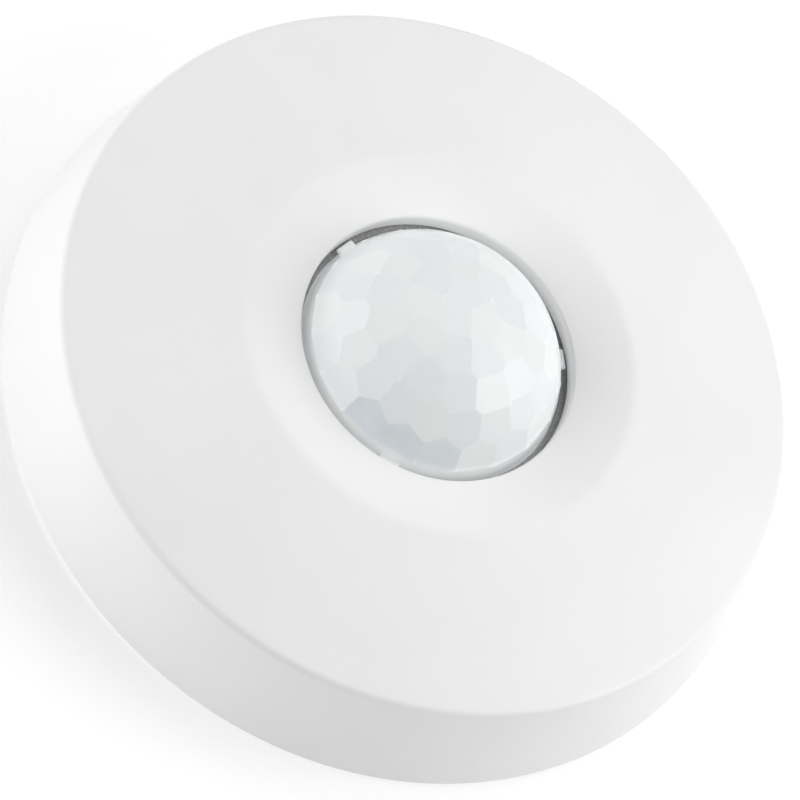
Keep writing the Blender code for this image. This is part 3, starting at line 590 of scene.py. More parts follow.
def bare_metal(name, colour, roughness, tarnish=0.8):
    """Plated metal with fine drawn scratches, duller patches and a little tarnish."""
    n = Nodes(name, Metallic=1.0)
    stain = n.spread(n.noise(3 * MM, 4.0, 0.6), 0, 1, 0.35, 0.75)
    tone = n.mix(stain, colour, tuple(c * tarnish for c in colour))
    scratches = n.noise(0.4 * MM, 2.0, 0.5, stretch=(1, 9, 1))
    rough = n.spread(n.noise(1.5 * MM, 3.0), roughness - 0.04, roughness + 0.06)
    return n.finish(Base_Color=tone, Roughness=rough, Normal=n.bump(scratches, 0.0015 * MM))


def solder_mask(name, mask):
    """A board's green mask, with slow drifts of shade and the faint weave of the glass cloth below."""
    n = Nodes(name, IOR=1.5, Coat_Weight=0.3, Coat_Roughness=0.2)
    drift = n.spread(n.noise(11 * MM, 3.0), 0, 1, 0.3, 0.7)
    tone = n.mix(drift, mask, tuple(c * 0.72 for c in mask))
    flow = n.bump(n.noise(1.6 * MM, 2.0), 0.012 * MM)
    weave = n.bump(n.noise(0.3 * MM, 2.0), 0.005 * MM, after=flow)
    rough = n.spread(n.noise(5 * MM, 2.0), 0.33, 0.46)
    return n.finish(Base_Color=tone, Roughness=rough, Normal=weave)


def sleeve(name, colour):
    """A battery's shrink sleeve: glossy film with rubbed patches and small wrinkles."""
    n = Nodes(name, IOR=1.5, Coat_Weight=0.4, Coat_Roughness=0.15)
    rubbed = n.spread(n.noise(5 * MM, 3.0), 0, 0.4)
    tone = n.mix(rubbed, colour, tuple(c * 0.6 for c in colour))
    wrinkles = n.bump(n.noise(1.2 * MM, 2.0, stretch=(0.3, 1, 1)), 0.02 * MM)
    return n.finish(Base_Color=tone, Roughness=n.spread(n.noise(2 * MM), 0.3, 0.42), Normal=wrinkles)


def tinted_clear(name, colour, roughness):
    """Coloured see-through plastic or glass, a little cloudy inside."""
    n = Nodes(name, IOR=1.5, Transmission_Weight=0.5)
    cloud = n.spread(n.noise(1.2 * MM, 2.0), 0, 1)
    tone = n.mix(cloud, colour, tuple(c * 0.75 for c in colour))
    rough = n.spread(n.noise(0.8 * MM), roughness, roughness + 0.08)
    return n.finish(Base_Color=tone, Roughness=rough, Normal=n.bump(n.noise(0.6 * MM), 0.004 * MM))


MATERIALS = {
    "white_abs": moulded_plastic("white_abs", (0.865, 0.865, 0.865), 0.40),
    "grey_abs": moulded_plastic("grey_abs", (0.72, 0.73, 0.73), 0.5, 0.4 * MM, 0.008 * MM),
    "lens_plastic": milky_lens("lens_plastic", (0.86, 0.89, 0.91), (0.93, 0.93, 0.92)),
    # the foam's grey is partly painted shade of the deep slot round the lens
    "black_foam": foam("black_foam", (0.34, 0.34, 0.34)),
    "board_green": solder_mask("board_green", (0.012, 0.13, 0.05)),
    "black_plastic": moulded_plastic("black_plastic", (0.022, 0.022, 0.024), 0.5, 0.15 * MM, 0.006 * MM),
    "tin_plate": bare_metal("tin_plate", (0.86, 0.85, 0.82), 0.4, 0.88),
    "steel": bare_metal("steel", (0.72, 0.72, 0.71), 0.42, 0.85),
    "filter_glass": tinted_clear("filter_glass", (0.05, 0.035, 0.045), 0.06),
    "natural_plastic": moulded_plastic("natural_plastic", (0.74, 0.71, 0.64), 0.42, 0.3 * MM, 0.005 * MM),
    "battery_wrap": sleeve("battery_wrap", (0.05, 0.055, 0.065)),
    "led_epoxy": tinted_clear("led_epoxy", (0.75, 0.08, 0.05), 0.1),
    "switch_red": moulded_plastic("switch_red", (0.50, 0.035, 0.03), 0.4, 0.2 * MM, 0.005 * MM),
}
LENS_SKIN = clear_skin("lens_skin")
LENS_RIM = milky_lens("lens_rim", (0.88, 0.875, 0.865), (0.9, 0.9, 0.89))
BATTERY_BAND = sleeve("battery_band", (0.45, 0.20, 0.045))
COPPER_TRACK = solder_mask("copper_track", (0.022, 0.22, 0.085))


def piece(obj, slot, *replaced, body=None, material=None):
    """Gives obj its slot's finish, and the body of the CAD node that it stands for."""
    obj.data.materials.clear()
    obj.data.materials.append(material or MATERIALS[slot])
    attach(obj, body or frame["nodes"][replaced[0]]["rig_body"])
    if replaced:
        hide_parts(*replaced)
    return obj


def tinned(name, objects):
    """Small tinned parts on the board, as one piece."""
    piece(merged(name, objects), "tin_plate", body="head")


# ---------------------------------------------------------------- front cover
def face_inner_z(radius):
    """Height of the sloping face's inner side at a radius outside the crest."""
    return RIM_Z + (RIM_RADIUS - radius) * math.tan(FACE_SLOPE) - FACE_DROP


def cover_fittings():
    """The bosses for the retainer's screws, and the rib that holds the cover's tamper switch down."""
    fittings = []
    for angle in RETAINER_ANGLES:
        fittings.append(drum(f"boss_{angle}", *RETAINER_BOSS, polar(RETAINER_SCREW_RADIUS, angle)))
    middle, _ = middle_and_size("tamper_plunger")
    rib_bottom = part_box("tamper_plunger")[1].z + GAP
    fittings.append(drum("tamper_rib", TAMPER_RIB_RADIUS, rib_bottom, TAMPER_RIB_TOP, middle.xy))
    return fittings


def make_front_cover():
    """The shell, turned from its section: out over the dish, crest and rim, down the side, back inside."""
    rim_inner = RIM_RADIUS - COVER_WALL
    crest_inner_z = face_inner_z(CREST_RADIUS)
    outline = rounded([
        (APERTURE_RADIUS, REBATE_Z),
        (APERTURE_RADIUS, APERTURE_Z, APERTURE_ROUND),
        (CREST_RADIUS, CREST_Z, CREST_ROUND),
        (RIM_RADIUS, RIM_Z, RIM_ROUND),
        (BASE_RADIUS, BASE_Z, SOFT_EDGE),
        (BASE_RADIUS - COVER_WALL, BASE_Z, SOFT_EDGE),
        (rim_inner, face_inner_z(rim_inner), INNER_RIM_ROUND),
        (CREST_RADIUS, crest_inner_z, INNER_CREST_ROUND),
        (COLLAR_RADIUS, crest_inner_z - COLLAR_FILLET),
        (COLLAR_RADIUS, COLLAR_BOTTOM, CRISP_EDGE),
        (REBATE_RADIUS, COLLAR_BOTTOM, CRISP_EDGE),
        (REBATE_RADIUS, REBATE_Z),
    ], 8)
    cover = lathe("cover_shell", outline)
    combined(cover, "UNION", cover_fittings())
    piece(cover, "white_abs", "front_cover")


# ---------------------------------------------------------------- lens
def facet_directions():
    """The direction of every facet from the centre of the lens's sphere."""
    directions = []
    for tilt, count, first in FACET_RINGS:
        for k in range(count):
            level = polar(math.sin(math.radians(tilt)), first + 360 * k / count)
            directions.append(Vector((level.x, level.y, math.cos(math.radians(tilt)))))
    return directions


def clipped(polygon, normal, limit):
    """The part of a flat polygon where the distance along normal is no more than a limit."""
    kept = []
    for here, on in zip(polygon, polygon[1:] + polygon[:1]):
        a, b = here.dot(normal) - limit, on.dot(normal) - limit
        if a <= 0:
            kept.append(here)
        if a * b < 0:
            kept.append(here.lerp(on, a / (a - b)))
    return kept


def facet_outline(direction, others, radius):
    """A facet's corners: the sphere's tangent plane, cut half-way to each of the facets around it."""
    side = direction.orthogonal().normalized()
    across = direction.cross(side)
    reach = radius / 2
    polygon = [direction * radius + side * reach * i + across * reach * j
               for i, j in ((1, 1), (-1, 1), (-1, -1), (1, -1))]
    for other in others:
        if other is not direction and other.angle(direction) < math.radians(FACET_REACH):
            polygon = clipped(polygon, (other - direction).normalized(), 0)
    foot = radius * math.cos(math.radians(FACET_FOOT))
    return clipped(polygon, Vector((0, 0, -1)), -foot)


def facet_tone_and_shade(number, count):
    """0 to 1 between the cool and the warm milky tone, or below 0 for a facet with painted shade, for the
    dark it looks into.
    """
    shade = number - count + FACET_RINGS[-1][1]
    if 0 <= shade < PAINTED_SHADE_FACETS:
        return PAINTED_SHADE_STEP * shade + DARKEST_PAINTED_SHADE
    return 0.5 + 0.5 * math.sin(number * TONE_TURN)


def make_facets():
    """The milky layer: rings of flat facets with softened edges, as the inside of the lens shows them."""
    work = bmesh.new()
    tones = work.faces.layers.float.new("facet_tone_and_shade")
    directions = facet_directions()
    lift = Vector((0, 0, LENS_CENTRE_Z))
    for number, direction in enumerate(directions):
        corners = facet_outline(direction, directions, LENS_SPHERE - FACET_DEPTH)
        middle = sum(corners, Vector()) / len(corners)
        rim = [work.verts.new(c + lift) for c in corners]
        flat = [work.verts.new(c.lerp(middle, FACET_EDGE / (c - middle).length) + lift) for c in corners]
        faces = [work.faces.new(flat)]
        faces += [work.faces.new((rim[k - 1], rim[k], flat[k], flat[k - 1])) for k in range(len(rim))]
        for face in faces:
            face[tones] = facet_tone_and_shade(number, len(directions))
    bmesh.ops.remove_doubles(work, verts=work.verts, dist=0.03 * MM)
    return from_bmesh("lens_facets", work, 40.0)


def make_lens_skin(edge):
    """The smooth dome, from its top down to an edge given in degrees above the sphere's equator."""
    steps = 48
    dome = [polar(LENS_SPHERE, 90 - (90 - edge) * i / steps) for i in range(steps + 1)]
    outline = [(p.x if i else 0, p.y + LENS_CENTRE_Z) for i, p in enumerate(dome)]
    skin = lathe("lens_dome", outline, 192, closed=False)
    piece(skin, "lens_plastic", "lens", material=LENS_SKIN)


def make_lens_foot(edge):
    """The plain band below the facets, the skirt and the flange."""
    tilts = [FACET_FOOT - 1 + (90 - edge - FACET_FOOT + 1) * i / 8 for i in range(9)]
    band = [polar(LENS_SPHERE - FACET_DEPTH, 90 - tilt) for tilt in tilts]
    inner = LENS_SKIRT - LENS_WALL
    flange = rounded([
        (FLANGE_RADIUS, FLANGE_Z[1], CRISP_EDGE), (FLANGE_RADIUS, FLANGE_Z[0], CRISP_EDGE),
        (inner, FLANGE_Z[0], CRISP_EDGE), (inner, LENS_SKIRT_TOP),
    ], 4)
    foot = [(p.x, p.y + LENS_CENTRE_Z) for p in band] + [(LENS_SKIRT, FLANGE_Z[1])] + flange
    piece(lathe("lens_foot", foot, 192), "lens_plastic", body="cover", material=LENS_RIM)


def make_lens_lugs():
    """The small lugs that reach out over the seal."""
    reach = (LUG_REACH[0] + LUG_REACH[1]) / 2
    size = (LUG_REACH[1] - LUG_REACH[0], LUG_WIDTH, LUG_Z[1] - LUG_Z[0])
    for angle in LUG_ANGLES:
        centre = (*polar(reach, angle), (LUG_Z[0] + LUG_Z[1]) / 2)
        lug = block(f"lens_lug_{angle:.0f}", size, centre, angle, LUG_ROUND)
        piece(lug, "lens_plastic", body="cover", material=LENS_RIM)


def make_lens():
    edge = math.degrees(math.asin((LENS_SKIRT_TOP - LENS_CENTRE_Z) / LENS_SPHERE))
    make_lens_skin(edge)
    piece(make_facets(), "lens_plastic", body="cover")
    make_lens_foot(edge)
    make_lens_lugs()


def make_gasket():
    """The foam seal in the slot between the lens and the cover, its grey partly the seal's own colour and
    partly painted shade of the deep slot.
    """
    low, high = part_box("lens_gasket")
    inner = LENS_SKIRT + GAP
    outline = rounded([
        (inner, high.z, CRISP_EDGE), (high.x, high.z, CRISP_EDGE), (high.x, low.z), (inner, low.z),
    ], 3)
    piece(lathe("gasket_ring", outline, 128), "black_foam", "lens_gasket")


def threaded_screw(name, node):
    """A pan-head screw with a cross. The retainer's screws are driven from below, the others from above."""
    middle, size = middle_and_size(node)
    low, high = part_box(node)
    head = size.x / 2
    point = SCREW_HEAD - size.z
    outline = [(0, SCREW_HEAD), (head * 0.55, SCREW_HEAD), (head, SCREW_HEAD_RIM), (head, 0)]
    outline.append((THREAD_RADIUS, 0))
    for turn in range(int((size.z - UNTHREADED) / THREAD_PITCH)):
        root = -turn * THREAD_PITCH - 0.1 * THREAD_PITCH
        outline += [(THREAD_RADIUS * 0.8, root), (THREAD_RADIUS, root - 0.5 * THREAD_PITCH)]
    outline += [(THREAD_RADIUS * 0.7, point + 0.8 * MM), (0, point)]
    screw = lathe(name, outline, 48, 25.0)
    cross = (head * 1.1, CROSS_WIDTH, 1.6 * MM)
    cuts = [block("cross", cross, (0, 0, SCREW_HEAD + 0.1 * MM), turn) for turn in CROSS_TURNS]
    combined(screw, "DIFFERENCE", cuts)
    upward = node.startswith("retainer")
    if upward:
        screw.data.transform(Matrix.Rotation(math.pi, 4, "X"))
    base = low.z + SCREW_HEAD if upward else high.z - SCREW_HEAD
    screw.data.transform(Matrix.Translation((middle.x, middle.y, base)))
    return piece(screw, "steel", node)


def make_retainer():
    """The ring under the lens's flange, with three ears for its screws."""
    low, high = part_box("lens_retainer")
    inner = LENS_SKIRT - LENS_WALL
    ring = lathe("retainer_ring", rounded([
        (inner, high.z, CRISP_EDGE), (COLLAR_RADIUS, high.z, CRISP_EDGE),
        (COLLAR_RADIUS, low.z, SOFT_EDGE), (inner, low.z, SOFT_EDGE),
    ], 3), 128)
    ears = []
    for angle in RETAINER_ANGLES:
        outline = stadium(*EAR_SIZE, polar(EAR_RADIUS, angle), angle)
        ear = extruded("ear", outline, low.z + 0.1 * MM, high.z - 0.1 * MM, FINE_EDGE)
        hole = drum("hole", SCREW_HOLE, 0, 20 * MM, polar(RETAINER_SCREW_RADIUS, angle))
        ears.append(combined(ear, "DIFFERENCE", [hole]))
    piece(combined(ring, "UNION", ears), "grey_abs", "lens_retainer")


# ---------------------------------------------------------------- bracket and housing
def make_bracket():
    """A plate with a raised rim, low ribs, four screw slots, and three bayonet tabs with their stops."""
    inner, outer = BRACKET_RIM
    plate = lathe("bracket_plate", rounded([
        (0, BRACKET_PLATE_TOP), (inner, BRACKET_PLATE_TOP, SOFT_EDGE), (inner, BRACKET_RIM_TOP, CRISP_EDGE),
        (outer, BRACKET_RIM_TOP, SOFT_EDGE), (outer, 0, SOFT_EDGE), (0, 0),
    ], 4), 192)
    ribs = []
    for radius in BRACKET_RIBS:
        foot, top = BRACKET_PLATE_TOP - 0.1 * MM, BRACKET_PLATE_TOP + 0.5 * MM
        outline = rounded([
            (radius - 0.6 * MM, foot), (radius - 0.5 * MM, top, CRISP_EDGE),
            (radius + 0.5 * MM, top, CRISP_EDGE), (radius + 0.6 * MM, foot),
        ], 3)
        ribs.append(lathe("rib", outline, 128))
    slots = []
    for angle in FIXING_ANGLES:
        outline = stadium(*FIXING_SLOT, polar(FIXING_RADIUS, angle), angle + 90)
        slots.append(extruded("slot", outline, -1 * MM, 5 * MM))
    combined(plate, "UNION", ribs)
    combined(plate, "DIFFERENCE", slots)
    tabs = []
    for angle in BAYONET_ANGLES:
        tabs.append(arc_block("tab", TAB_REACH, (1.9 * MM, 2.98 * MM), angle, TAB_ARC, FINE_EDGE))
        back = angle - STOP_BACK
        tabs.append(arc_block("stop", TAB_REACH, (0.02 * MM, 2.97 * MM), back, STOP_ARC, FINE_EDGE))
    piece(merged("bracket_body", [plate] + tabs), "white_abs", "mounting_bracket")


def battery_bay(y):
    """The two end walls, their webs, and the low ribs that hold one battery."""
    walls = []
    for side in (1, -1):
        walls.append(block("bay_end", BAY_END, (side * BAY_END_AT[0], y, BAY_END_AT[1]), 0, 0.25 * MM))
        walls.append(block("bay_web", BAY_WEB, (side * BAY_WEB_AT[0], y, BAY_WEB_AT[1]), 90, CRISP_EDGE))
        walls.append(block("bay_rib", BAY_RIB, (0, y + side * BAY_RIB_AT[0], BAY_RIB_AT[1]), 0, CRISP_EDGE))
    return walls


def make_housing():
    """The tub: skirt, floor and wall, the wall tamper's guide, hooks, catches, bosses and battery bays."""
    inner, wall = HOUSING_WALL
    shell = lathe("housing_shell", rounded([
        (0, FLOOR_Z[1]), (inner, FLOOR_Z[1], 0.5 * MM),
        (inner, HOUSING_WALL_TOP, SOFT_EDGE), (wall, HOUSING_WALL_TOP, SOFT_EDGE),
        (wall, FLOOR_Z[1]), (HOUSING_RADIUS, FLOOR_Z[1], CRISP_EDGE),
        (HOUSING_RADIUS, HOUSING_FOOT, SOFT_EDGE), (HOUSING_SKIRT, HOUSING_FOOT, SOFT_EDGE),
        (HOUSING_SKIRT, FLOOR_Z[0], 0.4 * MM), (0, FLOOR_Z[0]),
    ], 4), 192)
    middle, _ = middle_and_size("rear_tamper_plunger")
    guide = drum("guide", GUIDE_RADII[1], FLOOR_Z[1] - 0.2 * MM, GUIDE_TOP, middle.xy, SOFT_EDGE)
    combined(shell, "UNION", [guide])
    combined(shell, "DIFFERENCE", [drum("hole", GUIDE_RADII[0], 0, 9 * MM, middle.xy)])
    parts = [shell]
    for angle in BAYONET_ANGLES:
        parts.append(arc_block("hook", HOOK_REACH, HOOK_Z, angle, HOOK_ARC, FINE_EDGE))
    for angle in CATCH_ANGLES:
        parts.append(arc_block("catch", CATCH_REACH, CATCH_Z, angle, CATCH_ARC, 0.25 * MM))
    for node in BOARD_SCREWS:
        middle, _ = middle_and_size(node)
        parts.append(drum("boss", *BOARD_BOSS, middle.xy, CRISP_EDGE))
    for y in (BATTERY_Y, -BATTERY_Y):
        parts += battery_bay(y)
    piece(merged("housing_tub", parts), "grey_abs", "rear_housing")


# ---------------------------------------------------------------- board and what is on it
def make_board():
    """The panel, with holes for its screws and the wall tamper's plunger, and a tinned ring at each."""
    radius, half = BOARD_HIGH.x, BOARD_HIGH.y
    reach = math.degrees(math.asin(half / radius))
    angles = [-reach + 2 * reach * i / 40 for i in range(41)]
    outline = [polar(radius, a) for a in angles] + [polar(radius, a + 180) for a in angles]
    board = extruded("board_panel", outline, BOARD_LOW.z, BOARD_HIGH.z, 0.08 * MM)
    low, high = ON_BOARD + PLATING[0], ON_BOARD + PLATING[1]
    holes = []
    rings = []
    for node in (*BOARD_SCREWS, "rear_tamper_plunger"):
        inner = SCREW_HOLE if node in BOARD_SCREWS else TAMPER_HOLE
        outer = inner + PAD_WIDTH
        middle, _ = middle_and_size(node)
        holes.append(drum("hole", inner, 0, 20 * MM, middle.xy))
        ring = lathe(f"pad_{node}", [(inner, high), (outer, high), (outer, low), (inner, low)], 48)
        rings.append(shifted(ring, middle.xy))
    piece(combined(board, "DIFFERENCE", holes), "board_green", "circuit_board")
    tinned("board_pads", rings)


def ribbon(path, width, low, high):
    """A flat strip of constant width along a path of points."""
    left, right = [], []
    for i, spot in enumerate(path):
        before = (spot - path[max(i - 1, 0)]).normalized() if i else (path[1] - spot).normalized()
        after = (path[i + 1] - spot).normalized() if i + 1 < len(path) else before
        along = (before + after).normalized()
        across = Vector((-along.y, along.x)) * width / 2 / along.dot(before)
        left.append(spot + across)
        right.append(spot - across)
    return extruded("ribbon", left + right[::-1], low, high)


def track_path(bundle, lane):
    """A lane that runs along the board, steps aside at 45 degrees and runs on."""
    x = TRACK_START + TRACK_STAGGER * ((bundle * 5 + lane * 2) % 6)
    start = Vector((x, bundle * BUNDLE_PITCH + lane * LANE_PITCH))
    run = SHORTEST_RUN + RUN_STEP * ((bundle * 3 + lane) % 4)
    aside = TRACK_SIDESTEP if bundle % 2 else -TRACK_SIDESTEP
    corners = ((0, 0), (run, 0), (run + TRACK_SIDESTEP, aside), (run * 2 + TRACK_SIDESTEP, aside))
    return [start + Vector(corner) for corner in corners]


def make_tracks():
    """Copper under the mask, in bundles of lanes with a via at both ends of each."""
    low, high = ON_BOARD + TRACK_LAYER[0], ON_BOARD + TRACK_LAYER[1]
    strips, ends = [], []
    for bundle in range(-6, 7):
        for lane in range(4):
            path = track_path(bundle, lane)
            if any(abs(p.y) > BOARD_HIGH.y - MM or p.length > BOARD_HIGH.x - MM for p in path):
                continue
            strips.append(ribbon(path, TRACK_WIDTH, low, high))
            for end in (path[0], path[-1]):
                ends.append(drum("via", VIA_RADIUS, low, VIA_TOP, end, steps=14))
    piece(merged("board_tracks", strips), "board_green", body="head", material=COPPER_TRACK)
    tinned("board_vias", ends)


def standing_on_board():
    """The boxes of everything bigger that stands on the board or passes through it."""
    boxes = [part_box(node) for node in frame["nodes"]]
    return [(low, high) for low, high in boxes
            if low.z < ON_BOARD + 2 * MM and high.z > ON_BOARD and high.x - low.x < LARGE_PART]


def is_free(spot, margin, taken):
    """True where a small component may stand: on the board and away from the bigger ones."""
    if abs(spot.y) > BOARD_HIGH.y - margin or spot.length > BOARD_HIGH.x - margin:
        return False
    return not any(low.x - margin < spot.x < high.x + margin and low.y - margin < spot.y < high.y + margin
                   for low, high in taken)


def make_small_components():
    """Chip resistors and capacitors in loose rows, each with two tinned ends, and plated through holes."""
    taken = standing_on_board()
    bodies, caps, ends, holes = [], [], [], []
    for row in range(-7, 8):
        for column in range(-11, 12):
            drift = CHIP_DRIFT * math.sin(row * 2.3 + column * 1.7)
            spot = Vector((column * CHIP_PITCH + drift, row * CHIP_PITCH + drift / 2))
            if not is_free(spot, CHIP_CLEARANCE, taken):
                continue
            kind = (row * 5 + column * 3) % 4
            if kind == 3:
                low, high = ON_BOARD - 0.02 * MM, ON_BOARD + 0.04 * MM
                holes.append(drum("via", PLATED_HOLE_RADIUS, low, high, spot, steps=16))
                continue
            turn = 90 * ((row + column) % 2)
            height = (0.45 + 0.25 * kind) * MM
            z = ON_BOARD + height / 2
            body = block("chip", (*CHIP_SIZE, height), (*spot, z), turn, 0.06 * MM, 1)
            (bodies if kind else caps).append(body)
            for side in (-1, 1):
                offset = Matrix.Rotation(math.radians(turn), 2) @ Vector((side * 0.75 * MM, 0))
                size = (*CHIP_END, height + 0.04 * MM)
                ends.append(block("end", size, (*(spot + offset), z), turn, 0.06 * MM, 1))
    piece(merged("chip_resistors", bodies), "black_plastic", body="head")
    piece(merged("chip_capacitors", caps), "natural_plastic", body="head")
    tinned("chip_ends", ends)
    tinned("plated_holes", holes)


def make_pyro_sensor():
    """The sensor's can with its tab and filter window, the spacer below it and the shroud round it."""
    low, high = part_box("pyro_can")
    flange_z = low.z + SENSOR_FLANGE
    can = lathe("sensor_can", rounded([
        (0, high.z), (SENSOR_CAN_RADIUS, high.z, 0.5 * MM), (SENSOR_CAN_RADIUS, flange_z, FINE_EDGE),
        (high.x, flange_z, FINE_EDGE), (high.x, low.z, 0.1 * MM), (0, low.z),
    ], 5), 96)
    combined(can, "DIFFERENCE", [block("pocket", FILTER_POCKET, (0, 0, FILTER_POCKET_Z), 0, 0.4 * MM)])
    tab_at = (*polar(4.4 * MM, 45), low.z + 0.25 * MM)
    tab = block("tab", SENSOR_TAB, tab_at, 45, 0.08 * MM)
    piece(merged("sensor_housing", [can, tab]), "tin_plate", "pyro_can")
    middle, size = middle_and_size("pyro_window")
    piece(block("sensor_window", size, middle, 0, 0.08 * MM), "filter_glass", "pyro_window")
    low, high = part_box("pyro_spacer")
    spacer = rounded([
        (SPACER_BORE, high.z, FINE_EDGE), (high.x, high.z, FINE_EDGE), (high.x, low.z, 0.1 * MM),
        (SPACER_BORE, low.z),
    ], 3)
    piece(lathe("sensor_spacer", spacer, 64), "natural_plastic", "pyro_spacer")
    low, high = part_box("pyro_shroud")
    shroud = rounded([
        (SHROUD_TOP_INNER, high.z, FINE_EDGE), (high.x, high.z, SOFT_EDGE),
        (SHROUD_FOOT[1], low.z, CRISP_EDGE), (SHROUD_FOOT[0], low.z, CRISP_EDGE),
    ], 3)
    piece(lathe("sensor_shroud", shroud, 96), "natural_plastic", "pyro_shroud")


def make_radio():
    """A small board with nine pads on each long edge, under a shield pierced by vents."""
    middle, size = middle_and_size("radio_board")
    piece(block("radio_panel", size, middle, 0, 0.08 * MM), "board_green", "radio_board")
    cover_middle, cover_size = middle_and_size("radio_shield")
    lid = block("shield_lid", cover_size, cover_middle, 0, SOFT_EDGE, 4)
    vents = []
    for column in range(-2, 3):
        for row in (-1, 0, 1):
            spot = (cover_middle.x + column * 2.6 * MM, cover_middle.y + row * 3.2 * MM)
            vents.append(drum("vent", 0.4 * MM, cover_middle.z, cover_middle.z + 3 * MM, spot, steps=16))
    piece(combined(lid, "DIFFERENCE", vents), "tin_plate", "radio_shield")
    pads = []
    pad = (*EDGE_PAD, size.z + 0.04 * MM)
    for side in (-1, 1):
        for k in range(-4, 5):
            spot = (middle.x + k * EDGE_PAD_PITCH, middle.y + side * size.y / 2, middle.z)
            pads.append(block("edge_pad", pad, spot, 0, 0.05 * MM, 1))
    tinned("radio_pads", pads)


def make_controller():
    """A flat chip with a dimple at one corner and eight bent leads on each side."""
    middle, size = middle_and_size("controller_chip")
    body = block("controller_body", size, middle, 0, FINE_EDGE)
    corner = middle.xy + Vector((-size.x, size.y)) * 0.36
    top = middle.z + size.z / 2
    dimple = drum("dimple", 0.45 * MM, top - 0.08 * MM, top + size.z / 2, corner, steps=24)
    piece(combined(body, "DIFFERENCE", [dimple]), "black_plastic", "controller_chip")
    leads = []
    for side in range(4):
        turn = Matrix.Rotation(math.radians(90 * side), 2)
        for k in range(8):
            for reach, rise, length, height in (LEAD_SHOULDER, LEAD_FOOT, LEAD_BEND):
                spot = turn @ Vector((reach, (k - 3.5) * LEAD_PITCH))
                centre = (*(middle.xy + spot), ON_BOARD + rise)
                leads.append(block("lead", (length, LEAD_WIDTH, height), centre, 90 * side, 0.03 * MM, 1))
    tinned("controller_leads", leads)


def make_crystal():
    """A can with round ends, pressed onto a wider rim."""
    middle, size = middle_and_size("crystal_can")
    low = middle.z - size.z / 2
    inset = 2 * CRYSTAL_RIM
    shape = stadium(size.y - inset, size.x - inset, middle.xy, 90)
    cap = extruded("crystal_cap", shape, low, low + size.z, 0.4 * MM)
    rim = extruded("crystal_rim", stadium(size.y, size.x, middle.xy, 90), low, low + 0.45 * MM, 0.1 * MM)
    piece(merged("crystal", [cap, rim]), "tin_plate", "crystal_can")


def make_capacitor(node):
    """A sleeved can with a groove near its foot, and a scored disc in its top."""
    middle, size = middle_and_size(node)
    radius, top, low = size.x / 2, middle.z + size.z / 2, middle.z - size.z / 2
    can = lathe(f"{node}_sleeve", rounded([
        (radius * 0.8, top - 0.05 * MM), (radius * 0.86, top, 0.1 * MM), (radius, top, 0.4 * MM),
        (radius, low + 1.6 * MM, CRISP_EDGE), (radius * 0.93, low + 1.2 * MM, CRISP_EDGE),
        (radius, low + 0.8 * MM, CRISP_EDGE), (radius, low, CRISP_EDGE), (0, low), (0, top - 0.3 * MM),
        (radius * 0.8, top - 0.3 * MM),
    ], 4), 64)
    piece(shifted(can, middle.xy), "black_plastic", node)
    disc = drum(f"{node}_top", radius * 0.8, top - 0.35 * MM, top - 0.12 * MM, middle.xy)
    groove = (radius * 1.3, 0.18 * MM, 0.3 * MM)
    score = [block("score", groove, (*middle.xy, top - 0.1 * MM), turn) for turn in (45, 135)]
    piece(combined(disc, "DIFFERENCE", score), "tin_plate", body="head")


def make_led():
    """A domed lamp with a flange at its foot."""
    middle, size = middle_and_size("status_led")
    low, high = middle.z - size.z / 2, middle.z + size.z / 2
    flange_z = low + LED_FLANGE
    dome = [polar(LED_RADIUS, 90 - 90 * i / 10) + Vector((0, high - LED_RADIUS)) for i in range(11)]
    outline = [(max(p.x, 0) if i else 0, p.y) for i, p in enumerate(dome)]
    outline += [(LED_RADIUS, flange_z), (size.x / 2, flange_z), (size.x / 2, low), (0, low)]
    piece(shifted(lathe("led_lens", outline, 48), middle.xy), "led_epoxy", "status_led")


def helix(start, along, radii, length, turns, steps=20):
    """Points of a coil that runs along a direction from one radius to another."""
    side = along.orthogonal().normalized()
    across = along.cross(side)
    path = []
    for i in range(int(turns * steps) + 1):
        share = i / (turns * steps)
        turn = polar(radii[0] + (radii[1] - radii[0]) * share, 360 * turns * share)
        path.append(start + along * length * share + side * turn.x + across * turn.y)
    return path


def make_antenna():
    """An open coil of wire that lies along Y."""
    middle, size = middle_and_size("antenna_coil")
    start = Vector((middle.x, middle.y - size.y / 2 + ANTENNA_WIRE, middle.z))
    length = size.y - 2 * ANTENNA_WIRE
    path = helix(start, Vector((0, 1, 0)), (ANTENNA_RADIUS, ANTENNA_RADIUS), length, 5)
    piece(tube("antenna", path, ANTENNA_WIRE), "steel", "antenna_coil")


def make_battery(node, flip):
    """A cell along X: a sleeve rolled over its ends, the metal cell with its nub, and a coloured band."""
    middle, size = middle_and_size(node)
    nub_radius, nub = BATTERY_NUB
    radius, length = size.y / 2, size.x - nub
    wrap = lathe(f"{node}_sleeve", rounded([
        (radius * 0.82, length + 0.02 * MM, CRISP_EDGE), (radius, length, 0.5 * MM), (radius, 0.0, 0.4 * MM),
        (radius * 0.86, 0.0, 0.1 * MM), (radius * 0.86, 0.3 * MM), (radius * 0.82, 0.3 * MM),
    ], 4), 96)
    ends = lathe(f"{node}_ends", rounded([
        (0, length + nub), (nub_radius, length + nub, 0.4 * MM), (nub_radius, length - 0.1 * MM, SOFT_EDGE),
        (radius * 0.85, length - 0.1 * MM), (radius * 0.85, 0.12 * MM, CRISP_EDGE), (0, 0.12 * MM),
    ], 5), 96)
    top, bottom = length - BAND_FROM_END[0], length - BAND_FROM_END[1]
    inner, outer = radius - 0.1 * MM, radius + 0.03 * MM
    band = lathe(f"{node}_band", [(inner, top), (outer, top), (outer, bottom), (inner, bottom)], 96)
    foot = middle.x + size.x / 2 if flip else middle.x - size.x / 2
    for obj in (wrap, ends, band):
        laid_along_x(obj, (foot, middle.y, middle.z), flip)
    piece(band, "battery_wrap", body="head", material=BATTERY_BAND)
    piece(wrap, "battery_wrap", node)
    piece(ends, "tin_plate", body="head")


